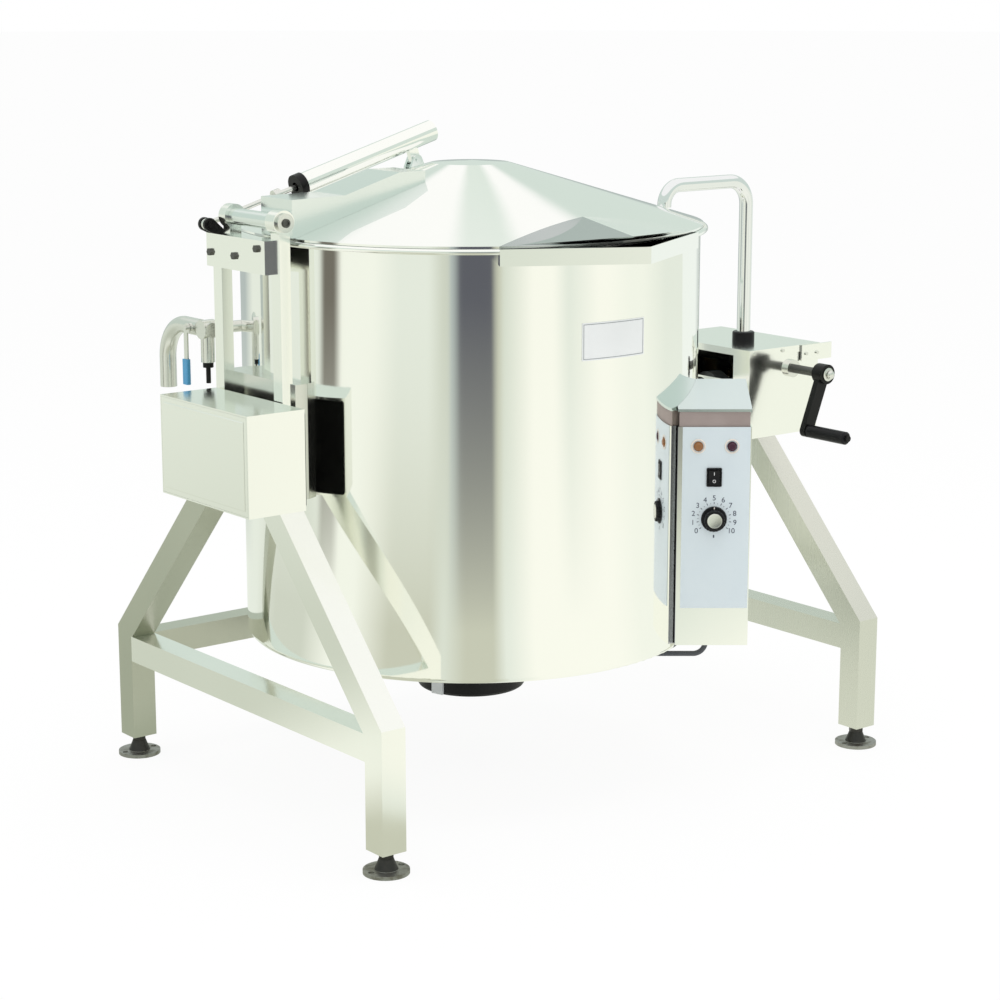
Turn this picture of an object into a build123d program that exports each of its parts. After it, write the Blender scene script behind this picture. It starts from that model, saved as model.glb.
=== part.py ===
"""Floor-standing, crank-tilted, self-contained steam jacketed kettle.

Every height is measured from the floor and every other place from the kettle's own vertical axis:
X runs along the trunnions to the gear side, -Y is the pouring side. The frame's origin is on the
floor under the middle of the whole machine, so the kettle's axis stands at (axis_x, axis_y) in it.
"""

import os
from math import atan2, cos, degrees, hypot, pi, radians, sin, sqrt, tan

from build123d import *

os.makedirs("parts", exist_ok=True)

# ---------------------------------------------------------------- driving dimensions, in mm
fit = 0.05  # radial running clearance
seat = 0.3  # gap where one body rests on another

# kettle
trunnion_z = 665.0
trunnion_r = 25.0
shell_r = 435.0
shell_wall = 2.5
shell_bottom = 274.0
shell_corner = 10.0
rim_overhang = 14.0
rim_r = shell_r + rim_overhang
rim_top = 1053.0
rim_height = 10.0
insulation = 27.5
vessel_wall = 3.0
vessel_r = shell_r - shell_wall - insulation - vessel_wall
dish_z = 470.0
vessel_floor = 360.0
jacket_gap = 15.0
jacket_wall = 3.0
jacket_top = 760.0
jacket_floor = 300.0
lip_half_angle = 31.0
lip_nose = 66.0
lip_reach = rim_r + lip_nose
lip_depth = 27.0
lip_sheet = 2.5
cover_r = 105.0
cover_bottom = 150.0
cover_corner = 5.0
heater_r = 60.0

# stand
tube = 50.0
tube_wall = 3.0
stand_gap_left = 99.0  # from the shell to the outer face of the left legs
stand_gap_right = 241.0
stand_left = -shell_r - stand_gap_left
stand_right = shell_r + stand_gap_right
stand_half = 446.0
rail_top = 248.0
foot_height = 40.0
foot_disc = 7.0
foot_stud_r = 8.0
foot_bolt_r = 5.5
foot_bolt_spacing = 64.0
foot_bolt_edge = 9.0  # from a bolt's centre to the flange's edge
foot_r = foot_bolt_spacing / 2 + foot_bolt_edge
housing_bottom = 587.0
housing_top = 769.0
housing_half = 146.0
sheet = 3.0
left_housing_gap = 44.0  # from the shell to the left housing
left_housing_depth = 119.0
right_housing_gap = 165.0
right_housing_depth = 195.0
left_housing_inner = -shell_r - left_housing_gap
left_housing_outer = left_housing_inner - left_housing_depth
right_housing_inner = shell_r + right_housing_gap
right_housing_outer = right_housing_inner + right_housing_depth
plate_lap = 33.0
cover_rise = 1.5

# The machine's middle lies between the left cover and the gear housing's plate, and between the
# pouring lip's tip and the rear feet.
axis_x = -(right_housing_outer + plate_lap + left_housing_outer - cover_rise) / 2
axis_y = (lip_reach - stand_half + tube / 2 - foot_r) / 2

# console, in a frame turned to its own panel
console_turn = -38.2
panel_out = 220.0
panel_bottom = 359.0
console_lap = 52.0
console_width = 136.0
console_left = shell_r - console_lap
console_right = console_left + console_width
console_depth = 130.0
console_bottom = 287.0
console_top = 702.0
hood_front = 730.0
hood_rise = 35.0

# lid and its hinge
lid_inset = 8.0
lid_r = rim_r - lid_inset
lid_sheet = 2.0
lid_edge = 4.0
crown_r = 75.0
crown_z = 1168.0
crown_rise = 4.0
beak_nose = 27.0
beak_root_inset = 111.0
beak_reach = lid_r + beak_nose
beak_start = lid_r - beak_root_inset
beak_tip_z = 1067.0
hinge_gap = 30.5
hinge_x = -shell_r - hinge_gap
hinge_z = 1088.0
pin_r = 8.0
barrel_r = 15.0
ear_r = 22.0
post_gap = 18.5
post_depth = 22.0
post_inner = -shell_r - post_gap
post_outer = post_inner - post_depth
post_width = 28.0
post_front_y = -57.0
post_rear_y = 137.0
head_bottom = 995.0
head_top = 1055.0
arm_front = -60.0
arm_rear = 40.0

# spring assist
spring_y = post_rear_y
spring_angle = 16.3
anchor_gap = 30.0
anchor_x = hinge_x - anchor_gap
anchor_z = 1071.5
tube_mouth = 203.0
tube_length = 325.0
spring_tube_r = 20.5
spring_tube_wall = 3.0
rod_r = 5.0
rod_length = 320.0
piston_r = 13.0
swing_r = 5.0
swing_inset = 406.0  # from the shell's left side to the lid's bracket
swing_x = -shell_r + swing_inset
swing_z = 1166.0

# tilt gear
crank_inset = 117.0
crank_x = right_housing_inner + crank_inset
worm_teeth = 30
module = 3.0
worm_r = 13.0
worm_turns = 5.5
wheel_width = 14.0
crank_arm = 120.0
crank_lean = 21.0
crank_shaft_r = 9.0
hub_front = -225.0
grip_length = 105.0
grip_r = 13.0

# water faucet
faucet_inset = 94.0
faucet_x = right_housing_inner + faucet_inset
faucet_y = -28.0
faucet_r = 14.0
faucet_wall = 1.5
faucet_base_r = 23.0
faucet_base_height = 19.0
faucet_top = 1100.0
faucet_reach = 226.0
faucet_bend = 48.0
faucet_mouth = 1058.0

lid_slope = (crown_z - (rim_top + seat + lid_edge)) / (lid_r - crown_r)
wheel_r = module * worm_teeth / 2
lead = pi * module
worm_length = worm_turns * lead
worm_z = trunnion_z + wheel_r + worm_r


def level(z, x=0.0, y=0.0, turn=0.0):
    """A horizontal plane at height z, its axes turned by a number of degrees."""
    along = (cos(radians(turn)), sin(radians(turn)), 0)
    return Plane(origin=(axis_x + x, axis_y + y, z), x_dir=along, z_dir=(0, 0, 1))


def side(x, y=0.0, z=0.0):
    """An upright plane at x that faces +X: its sketches run along +Y and up."""
    return Plane(origin=(axis_x + x, axis_y + y, z), x_dir=(0, 1, 0), z_dir=(1, 0, 0))


def front(y, x=0.0, z=0.0):
    """An upright plane at y that faces -Y: its sketches run along +X and up."""
    return Plane(origin=(axis_x + x, axis_y + y, z), x_dir=(1, 0, 0), z_dir=(0, -1, 0))


def slab(x, y, z, mode=Mode.ADD):
    """A box between three pairs of limits."""
    with BuildSketch(level(z[0], (x[0] + x[1]) / 2, (y[0] + y[1]) / 2), mode=Mode.PRIVATE) as flat:
        Rectangle(x[1] - x[0], y[1] - y[0])
    extrude(flat.sketch, amount=z[1] - z[0], mode=mode)


def bar(plane, radius, length, mode=Mode.ADD):
    """A round bar that starts on a plane and runs along its normal."""
    with BuildSketch(plane, mode=Mode.PRIVATE) as flat:
        Circle(radius)
    extrude(flat.sketch, amount=length, mode=mode)


def upright(radius, low, high, mode=Mode.ADD, x=0.0, y=0.0):
    """A vertical round bar."""
    bar(level(low, x, y), radius, high - low, mode)


def finish(piece, name):
    """Labels a finished piece and writes it as its own file."""
    piece.part.label = name
    export_step(piece.part, f"parts/{name}.step")


# ---------------------------------------------------------------- stand
# Two A-frames of square tube, joined low down at the back by one cross rail.
leg_bottom = foot_height
sides = {"left": stand_left + tube / 2, "right": stand_right - tube / 2}
leg_y = stand_half - tube / 2

lean = atan2(housing_bottom - rail_top - tube * 0.3, stand_half - housing_half)
across = tube / sin(lean)
skin = tube_wall / sin(lean)
outer_foot = housing_bottom - (stand_half - housing_half) * tan(lean)
inner_foot = housing_half - across + (housing_bottom - rail_top) / tan(lean)
bore_foot = inner_foot + skin - tube_wall / tan(lean)
bore_outer = housing_bottom - (stand_half - tube_wall - housing_half + skin) * tan(lean)
plug = tube - 2 * tube_wall
plug_height = 22.0

# Each corner is a short upright leg, with a threaded plug in its foot, and the sloping tube above it.
for where, x in sides.items():
    for end, sign in (("front", -1), ("rear", 1)):
        with BuildPart() as leg:
            with BuildSketch(level(leg_bottom, x, sign * leg_y)):
                Rectangle(tube, tube)
                Rectangle(plug, plug, mode=Mode.SUBTRACT)
            extrude(amount=rail_top - leg_bottom)
            with BuildSketch(side(x - tube / 2)):
                with BuildLine():
                    Polyline(
                        (sign * housing_half, housing_bottom),
                        (sign * stand_half, outer_foot),
                        (sign * stand_half, rail_top),
                        (sign * inner_foot, rail_top),
                        (sign * (housing_half - across), housing_bottom),
                        close=True,
                    )
                make_face()
            extrude(amount=tube)
            with BuildSketch(side(x - tube / 2 + tube_wall), mode=Mode.PRIVATE) as bore:
                with BuildLine():
                    Polyline(
                        (sign * (housing_half - skin), housing_bottom),
                        (sign * (stand_half - tube_wall), bore_outer),
                        (sign * (stand_half - tube_wall), rail_top),
                        (sign * (stand_half - tube + tube_wall), rail_top),
                        (sign * (stand_half - tube + tube_wall), rail_top + tube_wall),
                        (sign * bore_foot, rail_top + tube_wall),
                        (sign * (housing_half - across + skin), housing_bottom),
                        close=True,
                    )
                make_face()
            extrude(bore.sketch, amount=plug, mode=Mode.SUBTRACT)
            with BuildSketch(level(leg_bottom, x, sign * leg_y)):
                Rectangle(plug, plug)
                Circle(foot_stud_r + fit, mode=Mode.SUBTRACT)
            extrude(amount=plug_height)
        finish(leg, f"{where}_{end}_leg")

    with BuildPart() as rail:
        with BuildSketch(front(stand_half - tube, x, rail_top - tube / 2)):
            Rectangle(tube, tube)
            Rectangle(tube - 2 * tube_wall, tube - 2 * tube_wall, mode=Mode.SUBTRACT)
        extrude(amount=2 * (stand_half - tube))
    finish(rail, f"{where}_bottom_rail")

with BuildPart() as rear_cross_rail:
    with BuildSketch(side(stand_left + tube, leg_y, rail_top - tube / 2)):
        Rectangle(tube, tube)
        Rectangle(tube - 2 * tube_wall, tube - 2 * tube_wall, mode=Mode.SUBTRACT)
    extrude(amount=stand_right - stand_left - 2 * tube)
finish(rear_cross_rail, "rear_cross_rail")

corners = [(x, sign * leg_y) for x in sides.values() for sign in (-1, 1)]

# Flanged levelling feet, screwed into the plugs of the legs.
with BuildPart() as levelling_feet:
    for x, y in corners:
        with BuildSketch(front(y, x)) as profile:
            with BuildLine():
                Polyline(
                    (0, 0),
                    (foot_r, 0),
                    (foot_r, foot_disc),
                    (21, foot_disc),
                    (13, 27),
                    (0, 27),
                    close=True,
                )
            make_face()
        revolve(axis=Axis((axis_x + x, axis_y + y, 0), (0, 0, 1)))
        with BuildSketch(level(27, x, y)):
            RegularPolygon(14, 6)
        extrude(amount=leg_bottom - seat - 27)
        upright(foot_stud_r, 20, leg_bottom + plug_height + 15, x=x, y=y)
        for dx in (-foot_bolt_spacing / 2, foot_bolt_spacing / 2):
            upright(foot_bolt_r, -1, foot_disc + 1, Mode.SUBTRACT, x + dx, y)
finish(levelling_feet, "levelling_feet")

# ---------------------------------------------------------------- left trunnion housing
# A folded sheet box on the left A-frame, closed on its outer side by a screwed cover.
shaft_hole = trunnion_r + 8
with BuildPart() as left_housing:
    slab((left_housing_outer, left_housing_inner), (-housing_half, housing_half), (housing_bottom, housing_top))
    slab(
        (left_housing_outer - 1, left_housing_inner - sheet),
        (-housing_half + sheet, housing_half - sheet),
        (housing_bottom + sheet, housing_top - sheet),
        Mode.SUBTRACT,
    )
    bar(side(left_housing_inner - sheet - 1, 0, trunnion_z), shaft_hole, sheet + 2, Mode.SUBTRACT)
finish(left_housing, "left_housing")

cover_border = 9.0
with BuildPart() as left_housing_cover:
    slab(
        (left_housing_outer, left_housing_outer + sheet),
        (-housing_half + sheet + 0.2, housing_half - sheet - 0.2),
        (housing_bottom + sheet + 0.2, housing_top - sheet - 0.2),
    )
    rise = (left_housing_outer - cover_rise, left_housing_outer)
    slab(
        rise,
        (-housing_half + sheet + cover_border, housing_half - sheet - cover_border),
        (housing_bottom + sheet + cover_border, housing_top - sheet - cover_border),
    )
    edge = left_housing_cover.faces().sort_by(Axis.X)[0].edges()
    chamfer(edge, 1.2)
finish(left_housing_cover, "left_housing_cover")

# ---------------------------------------------------------------- right gear housing
plate_t = 4.0
with BuildPart() as right_housing:
    slab((right_housing_inner, right_housing_outer), (-housing_half, housing_half), (housing_bottom, housing_top - sheet))
    slab(
        (right_housing_inner + sheet, right_housing_outer - sheet),
        (-housing_half + sheet, housing_half - sheet),
        (housing_bottom + sheet, housing_top),
        Mode.SUBTRACT,
    )
    bar(side(right_housing_inner - 1, 0, trunnion_z), shaft_hole, sheet + 2, Mode.SUBTRACT)
    slab((right_housing_inner - 1, right_housing_inner + sheet + 1), (-98, 10), (702, 763), Mode.SUBTRACT)
    for y in (-housing_half + sheet + 1, housing_half + 1):
        bar(front(y, crank_x, worm_z), 14 + fit, sheet + 2, Mode.SUBTRACT)
finish(right_housing, "right_housing")

cap_drop = 14.0
with BuildPart() as right_housing_cover:
    lap = 2.0
    slab(
        (right_housing_inner - lap, right_housing_outer + lap),
        (-housing_half - lap, housing_half + lap),
        (housing_top - cap_drop, housing_top),
    )
    slab(
        (right_housing_inner - 0.2, right_housing_outer + 0.2),
        (-housing_half - 0.2, housing_half + 0.2),
        (housing_top - cap_drop - 1, housing_top - sheet + 0.0),
        Mode.SUBTRACT,
    )
    upright(11, housing_top - sheet - 1, housing_top + 1, Mode.SUBTRACT, faucet_x, faucet_y)
finish(right_housing_cover, "right_housing_cover")

# Pillow blocks that carry the trunnion shafts, one in the left housing and two in the right one.
block_w = 34.0
left_block_inset = 48.0
right_block_insets = (36.0, 34.0)
block_x = (
    left_housing_outer + left_block_inset,
    right_housing_inner + right_block_insets[0],
    right_housing_outer - right_block_insets[1],
)
with BuildPart() as trunnion_bearings:
    for x in block_x:
        base = housing_bottom + sheet
        with BuildSketch(side(x - block_w / 2)):
            with BuildLine():
                crown = trunnion_r + 17
                Line((-62, base), (62, base))
                Line((62, base), (62, base + 14))
                Line((62, base + 14), (crown, base + 14))
                Line((crown, base + 14), (crown, trunnion_z))
                ThreePointArc((crown, trunnion_z), (0, trunnion_z + crown), (-crown, trunnion_z))
                Line((-crown, trunnion_z), (-crown, base + 14))
                Line((-crown, base + 14), (-62, base + 14))
                Line((-62, base + 14), (-62, base))
            make_face()
            with Locations((0, trunnion_z)):
                Circle(trunnion_r + fit, mode=Mode.SUBTRACT)
        extrude(amount=block_w)
finish(trunnion_bearings, "trunnion_bearings")

# Flanged bushes in the front and rear walls of the gear housing, for the crank shaft.
bush_flange = 18.0
with BuildPart() as crank_bushes:
    for y, out in ((-housing_half, 1), (housing_half, -1)):
        inward = front(y + out * (sheet + 10), crank_x, worm_z) if out > 0 else front(y, crank_x, worm_z)
        bar(inward, 14, sheet + 10)
        flange = front(y, crank_x, worm_z) if out > 0 else front(y + 9, crank_x, worm_z)
        bar(flange, bush_flange, 9)
    bar(front(housing_half + 20, crank_x, worm_z), crank_shaft_r + fit, 2 * housing_half + 60, Mode.SUBTRACT)
finish(crank_bushes, "crank_bushes")

# ---------------------------------------------------------------- kettle body
lip_tip = (0, -lip_reach)
lip_ends = [
    (rim_r * sin(radians(turn)), -rim_r * cos(radians(turn))) for turn in (lip_half_angle, -lip_half_angle)
]
lip_floor = rim_top - lip_depth


def lip_prism(inset, low, high, mode):
    """The pouring lip's plan, from the kettle's axis out to the tip, drawn smaller by an inset."""
    with BuildSketch(level(low), mode=Mode.PRIVATE) as plan:
        with BuildLine():
            Polyline((0, 0), lip_ends[0], lip_tip, lip_ends[1], close=True)
        make_face()
        if inset > 0:
            offset(amount=-inset, kind=Kind.INTERSECTION, mode=Mode.REPLACE)
    extrude(plan.sketch, amount=high - low, mode=mode)


def lip_notch(low, high):
    """Cuts the sector that the pouring lip fills."""
    with BuildSketch(level(low), mode=Mode.PRIVATE) as sector:
        with BuildLine():
            Polyline((0, 0), *((1.3 * x, 1.3 * y) for x, y in (lip_ends[0], lip_tip, lip_ends[1])), close=True)
        make_face()
    extrude(sector.sketch, amount=high - low, mode=Mode.SUBTRACT)


with BuildPart() as outer_shell:
    with BuildSketch(front(0)) as section:
        with BuildLine():
            Polyline(
                (cover_r - 15, shell_bottom),
                (shell_r, shell_bottom),
                (shell_r, rim_top - rim_height),
                (shell_r - shell_wall, rim_top - rim_height),
                (shell_r - shell_wall, shell_bottom + shell_wall),
                (cover_r - 15, shell_bottom + shell_wall),
                close=True,
            )
        make_face()
        corner = section.vertices().group_by(Axis.Y)[0].sort_by(Axis.X)[-1]
        fillet(corner, shell_corner)
        inner_corner = section.vertices().group_by(Axis.Y)[1].sort_by(Axis.X)[-1]
        fillet(inner_corner, shell_corner - shell_wall)
    revolve(axis=Axis((axis_x, axis_y, 0), (0, 0, 1)))
    lip_notch(lip_floor - lip_sheet - fit, rim_top + 1)
finish(outer_shell, "outer_shell")


def bowl(radius, wall, tangent, floor, top):
    """Half section of a bowl: a straight wall above a dished bottom, drawn from the axis outwards."""
    depth = tangent - floor
    bend = (radius**2 + depth**2) / (2 * depth)
    middle = radius / 2
    dip = floor + bend - sqrt(bend**2 - middle**2)
    deeper = depth + wall
    outer = radius + wall
    outer_bend = (outer**2 + deeper**2) / (2 * deeper)
    outer_dip = floor - wall + outer_bend - sqrt(outer_bend**2 - middle**2)
    ThreePointArc((0, floor), (middle, dip), (radius, tangent))
    Line((radius, tangent), (radius, top))
    Line((radius, top), (outer, top))
    Line((outer, top), (outer, tangent))
    ThreePointArc((outer, tangent), (middle, outer_dip), (0, floor - wall))
    Line((0, floor - wall), (0, floor))


# The vessel's rolled wall, and the dished bottom that is welded under it.
vessel_out = vessel_r + vessel_wall
with BuildPart() as inner_vessel:
    upright(vessel_out, dish_z, rim_top - rim_height)
    upright(vessel_r, dish_z - 1, rim_top, Mode.SUBTRACT)
    lip_notch(lip_floor - lip_sheet - fit, rim_top + 1)
finish(inner_vessel, "inner_vessel")

with BuildPart() as vessel_bottom:
    with BuildSketch(front(0)):
        with BuildLine():
            bowl(vessel_r, vessel_wall, dish_z - 1, vessel_floor, dish_z)
        make_face()
    revolve(axis=Axis((axis_x, axis_y, 0), (0, 0, 1)))
finish(vessel_bottom, "vessel_bottom")

jacket_r = vessel_out + jacket_gap
with BuildPart() as steam_jacket:
    with BuildSketch(front(0)):
        with BuildLine():
            bowl(jacket_r, jacket_wall, dish_z, jacket_floor, jacket_top)
        make_face()
    revolve(axis=Axis((axis_x, axis_y, 0), (0, 0, 1)))
    upright(jacket_r + jacket_wall, jacket_top - 3, jacket_top)
    upright(vessel_out + fit, jacket_top - 4, jacket_top + 1, Mode.SUBTRACT)
    upright(heater_r, jacket_floor - 20, jacket_floor + 20, Mode.SUBTRACT)
finish(steam_jacket, "steam_jacket")

with BuildPart() as rim_ring:
    with BuildSketch(front(0)) as section:
        with BuildLine():
            bead = rim_height / 2
            Line((vessel_r, rim_top - rim_height), (rim_r - bead, rim_top - rim_height))
            ThreePointArc((rim_r - bead, rim_top - rim_height), (rim_r, rim_top - bead), (rim_r - bead, rim_top))
            Line((rim_r - bead, rim_top), (vessel_r, rim_top))
            Line((vessel_r, rim_top), (vessel_r, rim_top - rim_height))
        make_face()
    revolve(axis=Axis((axis_x, axis_y, 0), (0, 0, 1)))
    lip_notch(rim_top - rim_height - 1, rim_top + 1)
finish(rim_ring, "rim_ring")

with BuildPart() as pouring_lip:
    lip_prism(fit, lip_floor - lip_sheet, rim_top, Mode.ADD)
    upright(vessel_r, lip_floor - lip_sheet - 1, rim_top + 1, Mode.SUBTRACT)
    lip_prism(lip_sheet, lip_floor, rim_top + 1, Mode.SUBTRACT)
finish(pouring_lip, "pouring_lip")

# Three immersion elements on one flange, in the water at the bottom of the jacket.
element_r = 5.5
element_z = 332.0
with BuildPart() as heating_elements:
    upright(heater_r - fit, jacket_floor - jacket_wall - 9, jacket_floor - jacket_wall + 3)
    upright(cover_r - 20, shell_bottom + shell_wall + 0.2, jacket_floor - jacket_wall - 9)
    for turn in (0, 120, 240):
        hair = Plane(origin=(axis_x, axis_y, 0), x_dir=(cos(radians(turn)), sin(radians(turn)), 0), z_dir=(0, 0, 1))
        with BuildLine(hair, mode=Mode.PRIVATE) as loop:
            Polyline(
                (18, 12, jacket_floor - 2),
                (18, 12, element_z),
                (135, 12, element_z),
                (135, 42, element_z),
                (18, 42, element_z),
                (18, 42, jacket_floor - 2),
            )
        start = loop.line @ 0
        with BuildSketch(Plane(origin=start, z_dir=loop.line % 0), mode=Mode.PRIVATE) as wire:
            Circle(element_r)
        sweep(wire.sketch, path=loop.line, transition=Transition.RIGHT)
finish(heating_elements, "heating_elements")

# Black pan that covers the heater's terminals under the kettle.
with BuildPart() as heater_cover:
    upright(cover_r, cover_bottom, shell_bottom)
    upright(cover_r - 2, cover_bottom + 2, shell_bottom + 1, Mode.SUBTRACT)
    low_edge = heater_cover.edges().filter_by(GeomType.CIRCLE).group_by(Axis.Z)[0]
    chamfer(low_edge, cover_corner)
finish(heater_cover, "heater_cover")

clip_turn = radians(-165)
with BuildPart() as cover_clip:
    clip = Plane(
        origin=(axis_x + cover_r * cos(clip_turn), axis_y + cover_r * sin(clip_turn), cover_bottom + 30),
        x_dir=(-sin(clip_turn), cos(clip_turn), 0),
        z_dir=(cos(clip_turn), sin(clip_turn), 0),
    )
    with BuildSketch(clip.offset(-0.5)):
        Rectangle(26, 56)
    extrude(amount=5)
    upright(cover_r + fit, cover_bottom - 40, shell_bottom, Mode.SUBTRACT)
finish(cover_clip, "cover_clip")

# Left trunnion: pad on the shell that carries the hinge posts, and the shaft in its bearing.
pad_low, pad_high = 590.0, 800.0
pad_sink = 60.0
with BuildPart() as left_trunnion:
    slab((post_inner, -shell_r + pad_sink), (post_front_y - 22, post_rear_y + 22), (pad_low, pad_high))
    upright(shell_r + fit, pad_low - 1, pad_high + 1, Mode.SUBTRACT)
    bar(side(left_housing_outer + 24, 0, trunnion_z), trunnion_r, post_inner + 2 - left_housing_outer - 24)
finish(left_trunnion, "left_trunnion")

# Right trunnion: a box beam on the shell, and the shaft that carries the worm wheel.
beam_gap, beam_half, beam_low, beam_high = 37.0, 125.0, 560.0, 862.0
beam_x = shell_r + beam_gap
with BuildPart() as right_trunnion:
    slab((shell_r - pad_sink, beam_x), (-beam_half, beam_half), (beam_low, beam_high))
    upright(shell_r + fit, beam_low - 1, beam_high + 1, Mode.SUBTRACT)
    bar(side(beam_x - 2, 0, trunnion_z), trunnion_r, right_housing_outer - sheet - 6 - beam_x + 2)
finish(right_trunnion, "right_trunnion")

# ---------------------------------------------------------------- tilt gear
# A single-start worm on the crank shaft turns a worm wheel that is keyed on the right shaft. The
# wheel's teeth lie at the worm's lead angle.
lead_angle = degrees(atan2(lead, 2 * pi * worm_r))
tooth_out = wheel_r + 0.9 * module
tooth_in = wheel_r - 1.15 * module
pressure = tan(radians(20))
gap_half = pi * module / 4 + 0.35
with BuildPart() as worm_wheel:
    bar(side(crank_x - wheel_width / 2, 0, trunnion_z), tooth_out, wheel_width)
    bar(side(crank_x - wheel_width / 2 - 8, 0, trunnion_z), trunnion_r + 12, wheel_width + 16)
    bar(side(crank_x - wheel_width / 2 - 9, 0, trunnion_z), trunnion_r + fit, wheel_width + 18, Mode.SUBTRACT)
    for tooth in range(worm_teeth):
        turn = 360 / worm_teeth * tooth
        out = (0, sin(radians(turn)), cos(radians(turn)))
        around = (0, cos(radians(turn)), -sin(radians(turn)))
        slant = radians(-lead_angle)
        run = (cos(slant), around[1] * sin(slant), around[2] * sin(slant))
        gap_plane = Plane(
            origin=(axis_x + crank_x - 16 * run[0], axis_y - 16 * run[1], trunnion_z - 16 * run[2]),
            x_dir=out,
            z_dir=run,
        )
        with BuildSketch(gap_plane, mode=Mode.PRIVATE) as gap:
            with BuildLine():
                deep = gap_half - (wheel_r - tooth_in) * pressure
                wide = gap_half + (tooth_out + 2 - wheel_r) * pressure
                Polyline(
                    (tooth_in, -deep), (tooth_out + 2, -wide), (tooth_out + 2, wide), (tooth_in, deep), close=True
                )
            make_face()
        extrude(gap.sketch, amount=32, mode=Mode.SUBTRACT)
finish(worm_wheel, "worm_wheel")

thread_out = worm_r + 0.9 * module
thread_in = worm_r - 1.15 * module
thread_half = pi * module / 4 - 0.35
thread_root = 1.5
with BuildPart() as worm_shaft:
    worm_end = worm_length / 2 + 3
    bar(front(worm_end, crank_x, worm_z), thread_in, 2 * worm_end)
    thread_plane = front(worm_length / 2, crank_x, worm_z)
    coil = thread_plane.location * Helix(pitch=lead, height=worm_length, radius=worm_r)
    with BuildSketch(Plane(origin=coil @ 0, x_dir=(1, 0, 0), z_dir=coil % 0), mode=Mode.PRIVATE) as tooth_form:
        with BuildLine():
            tip = thread_half - (thread_out - worm_r) * pressure
            root = thread_half + (worm_r - thread_in + thread_root) * pressure
            Polyline(
                (thread_in - thread_root - worm_r, -root),
                (thread_out - worm_r, -tip),
                (thread_out - worm_r, tip),
                (thread_in - thread_root - worm_r, root),
                close=True,
            )
        make_face()
    sweep(tooth_form.sketch, path=coil, is_frenet=True)
    bar(front(housing_half + 4, crank_x, worm_z), crank_shaft_r, housing_half + 4 - worm_end)
    bar(front(-worm_end, crank_x, worm_z), crank_shaft_r, -hub_front + 14 - worm_end)
finish(worm_shaft, "worm_shaft")

lean_x = -sin(radians(crank_lean)) * crank_arm
lean_z = -cos(radians(crank_lean)) * crank_arm
arm_t = 13.0
with BuildPart() as crank:
    with BuildSketch(front(hub_front, crank_x, worm_z)):
        Circle(20)
    extrude(amount=26)
    with BuildSketch(front(hub_front - 6, crank_x, worm_z)):
        with Locations((lean_x / 2, lean_z / 2)):
            SlotCenterToCenter(crank_arm, 26, rotation=90 - crank_lean)
    extrude(amount=arm_t)
    bar(front(hub_front + 1, crank_x, worm_z), crank_shaft_r + fit, 16, Mode.SUBTRACT)
    bar(front(hub_front - 6 - arm_t + 1, crank_x + lean_x, worm_z + lean_z), 6, 1 + grip_length + 6)
finish(crank, "crank")

grip_start = hub_front - 6 - arm_t - seat
with BuildPart() as crank_grip:
    with BuildSketch(front(grip_start, crank_x + lean_x, worm_z + lean_z)):
        Circle(grip_r)
    extrude(amount=grip_length)
    ends = crank_grip.edges().filter_by(GeomType.CIRCLE)
    chamfer(ends, 3)
    bar(front(grip_start + 1, crank_x + lean_x, worm_z + lean_z), 6 + fit, grip_length + 2, Mode.SUBTRACT)
finish(crank_grip, "crank_grip")

# ---------------------------------------------------------------- screws and small plates on the gear housing
with BuildPart() as corner_plate:
    plate_x = (right_housing_outer - 53, right_housing_outer + plate_lap)
    plate_z = (housing_top - 34, housing_top - 1)
    slab(plate_x, (-housing_half - plate_t - 2, -housing_half - 2), plate_z)
finish(corner_plate, "corner_plate")

screw_r = 3.6
with BuildPart() as housing_screws:
    flange_z = housing_top - cap_drop / 2
    for x in (right_housing_inner + 12, right_housing_inner + 90):
        for y, out in ((-housing_half - lap, 0), (housing_half + lap + 3, 3)):
            bar(front(y, x, flange_z), screw_r, 3)
    for x in (right_housing_outer - 41, right_housing_outer - 10):
        bar(front(-housing_half - 2 - plate_t, x, housing_top - 19), screw_r, 3)
finish(housing_screws, "housing_screws")

# ---------------------------------------------------------------- water faucet on the gear housing
with BuildPart() as faucet_base:
    upright(faucet_base_r, housing_top, housing_top + faucet_base_height, x=faucet_x, y=faucet_y)
    top_edge = faucet_base.edges().filter_by(GeomType.CIRCLE).group_by(Axis.Z)[-1]
    chamfer(top_edge, 2)
    upright(10.8, housing_top - 20, housing_top, x=faucet_x, y=faucet_y)
    upright(faucet_r + fit, housing_top + 5, housing_top + 25, Mode.SUBTRACT, faucet_x, faucet_y)
finish(faucet_base, "faucet_base")

with BuildPart() as faucet_spout:
    run = Plane(origin=(axis_x + faucet_x, axis_y + faucet_y, 0), x_dir=(-1, 0, 0), z_dir=(0, 1, 0))
    with BuildLine(run, mode=Mode.PRIVATE) as spine:
        FilletPolyline(
            (0, housing_top + 5 + seat),
            (0, faucet_top),
            (faucet_reach, faucet_top),
            (faucet_reach, faucet_mouth),
            radius=[faucet_bend, faucet_top - faucet_mouth - 4],
        )
    with BuildSketch(level(housing_top + 5 + seat, faucet_x, faucet_y), mode=Mode.PRIVATE) as pipe:
        Circle(faucet_r)
        Circle(faucet_r - faucet_wall, mode=Mode.SUBTRACT)
    sweep(pipe.sketch, path=spine.line)
finish(faucet_spout, "faucet_spout")

# ---------------------------------------------------------------- lid hinge, carried on the left trunnion
post_y = {"front": (post_front_y - post_width / 2, post_front_y + post_width / 2)}
post_y["rear"] = (post_rear_y - post_width / 2, post_rear_y + post_width / 2)
post_x = (post_outer, post_inner)
post_foot = 640.0
head_x = (post_outer - 13.5, post_inner)
rear_ear_y = (88.0, 110.0)

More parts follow.
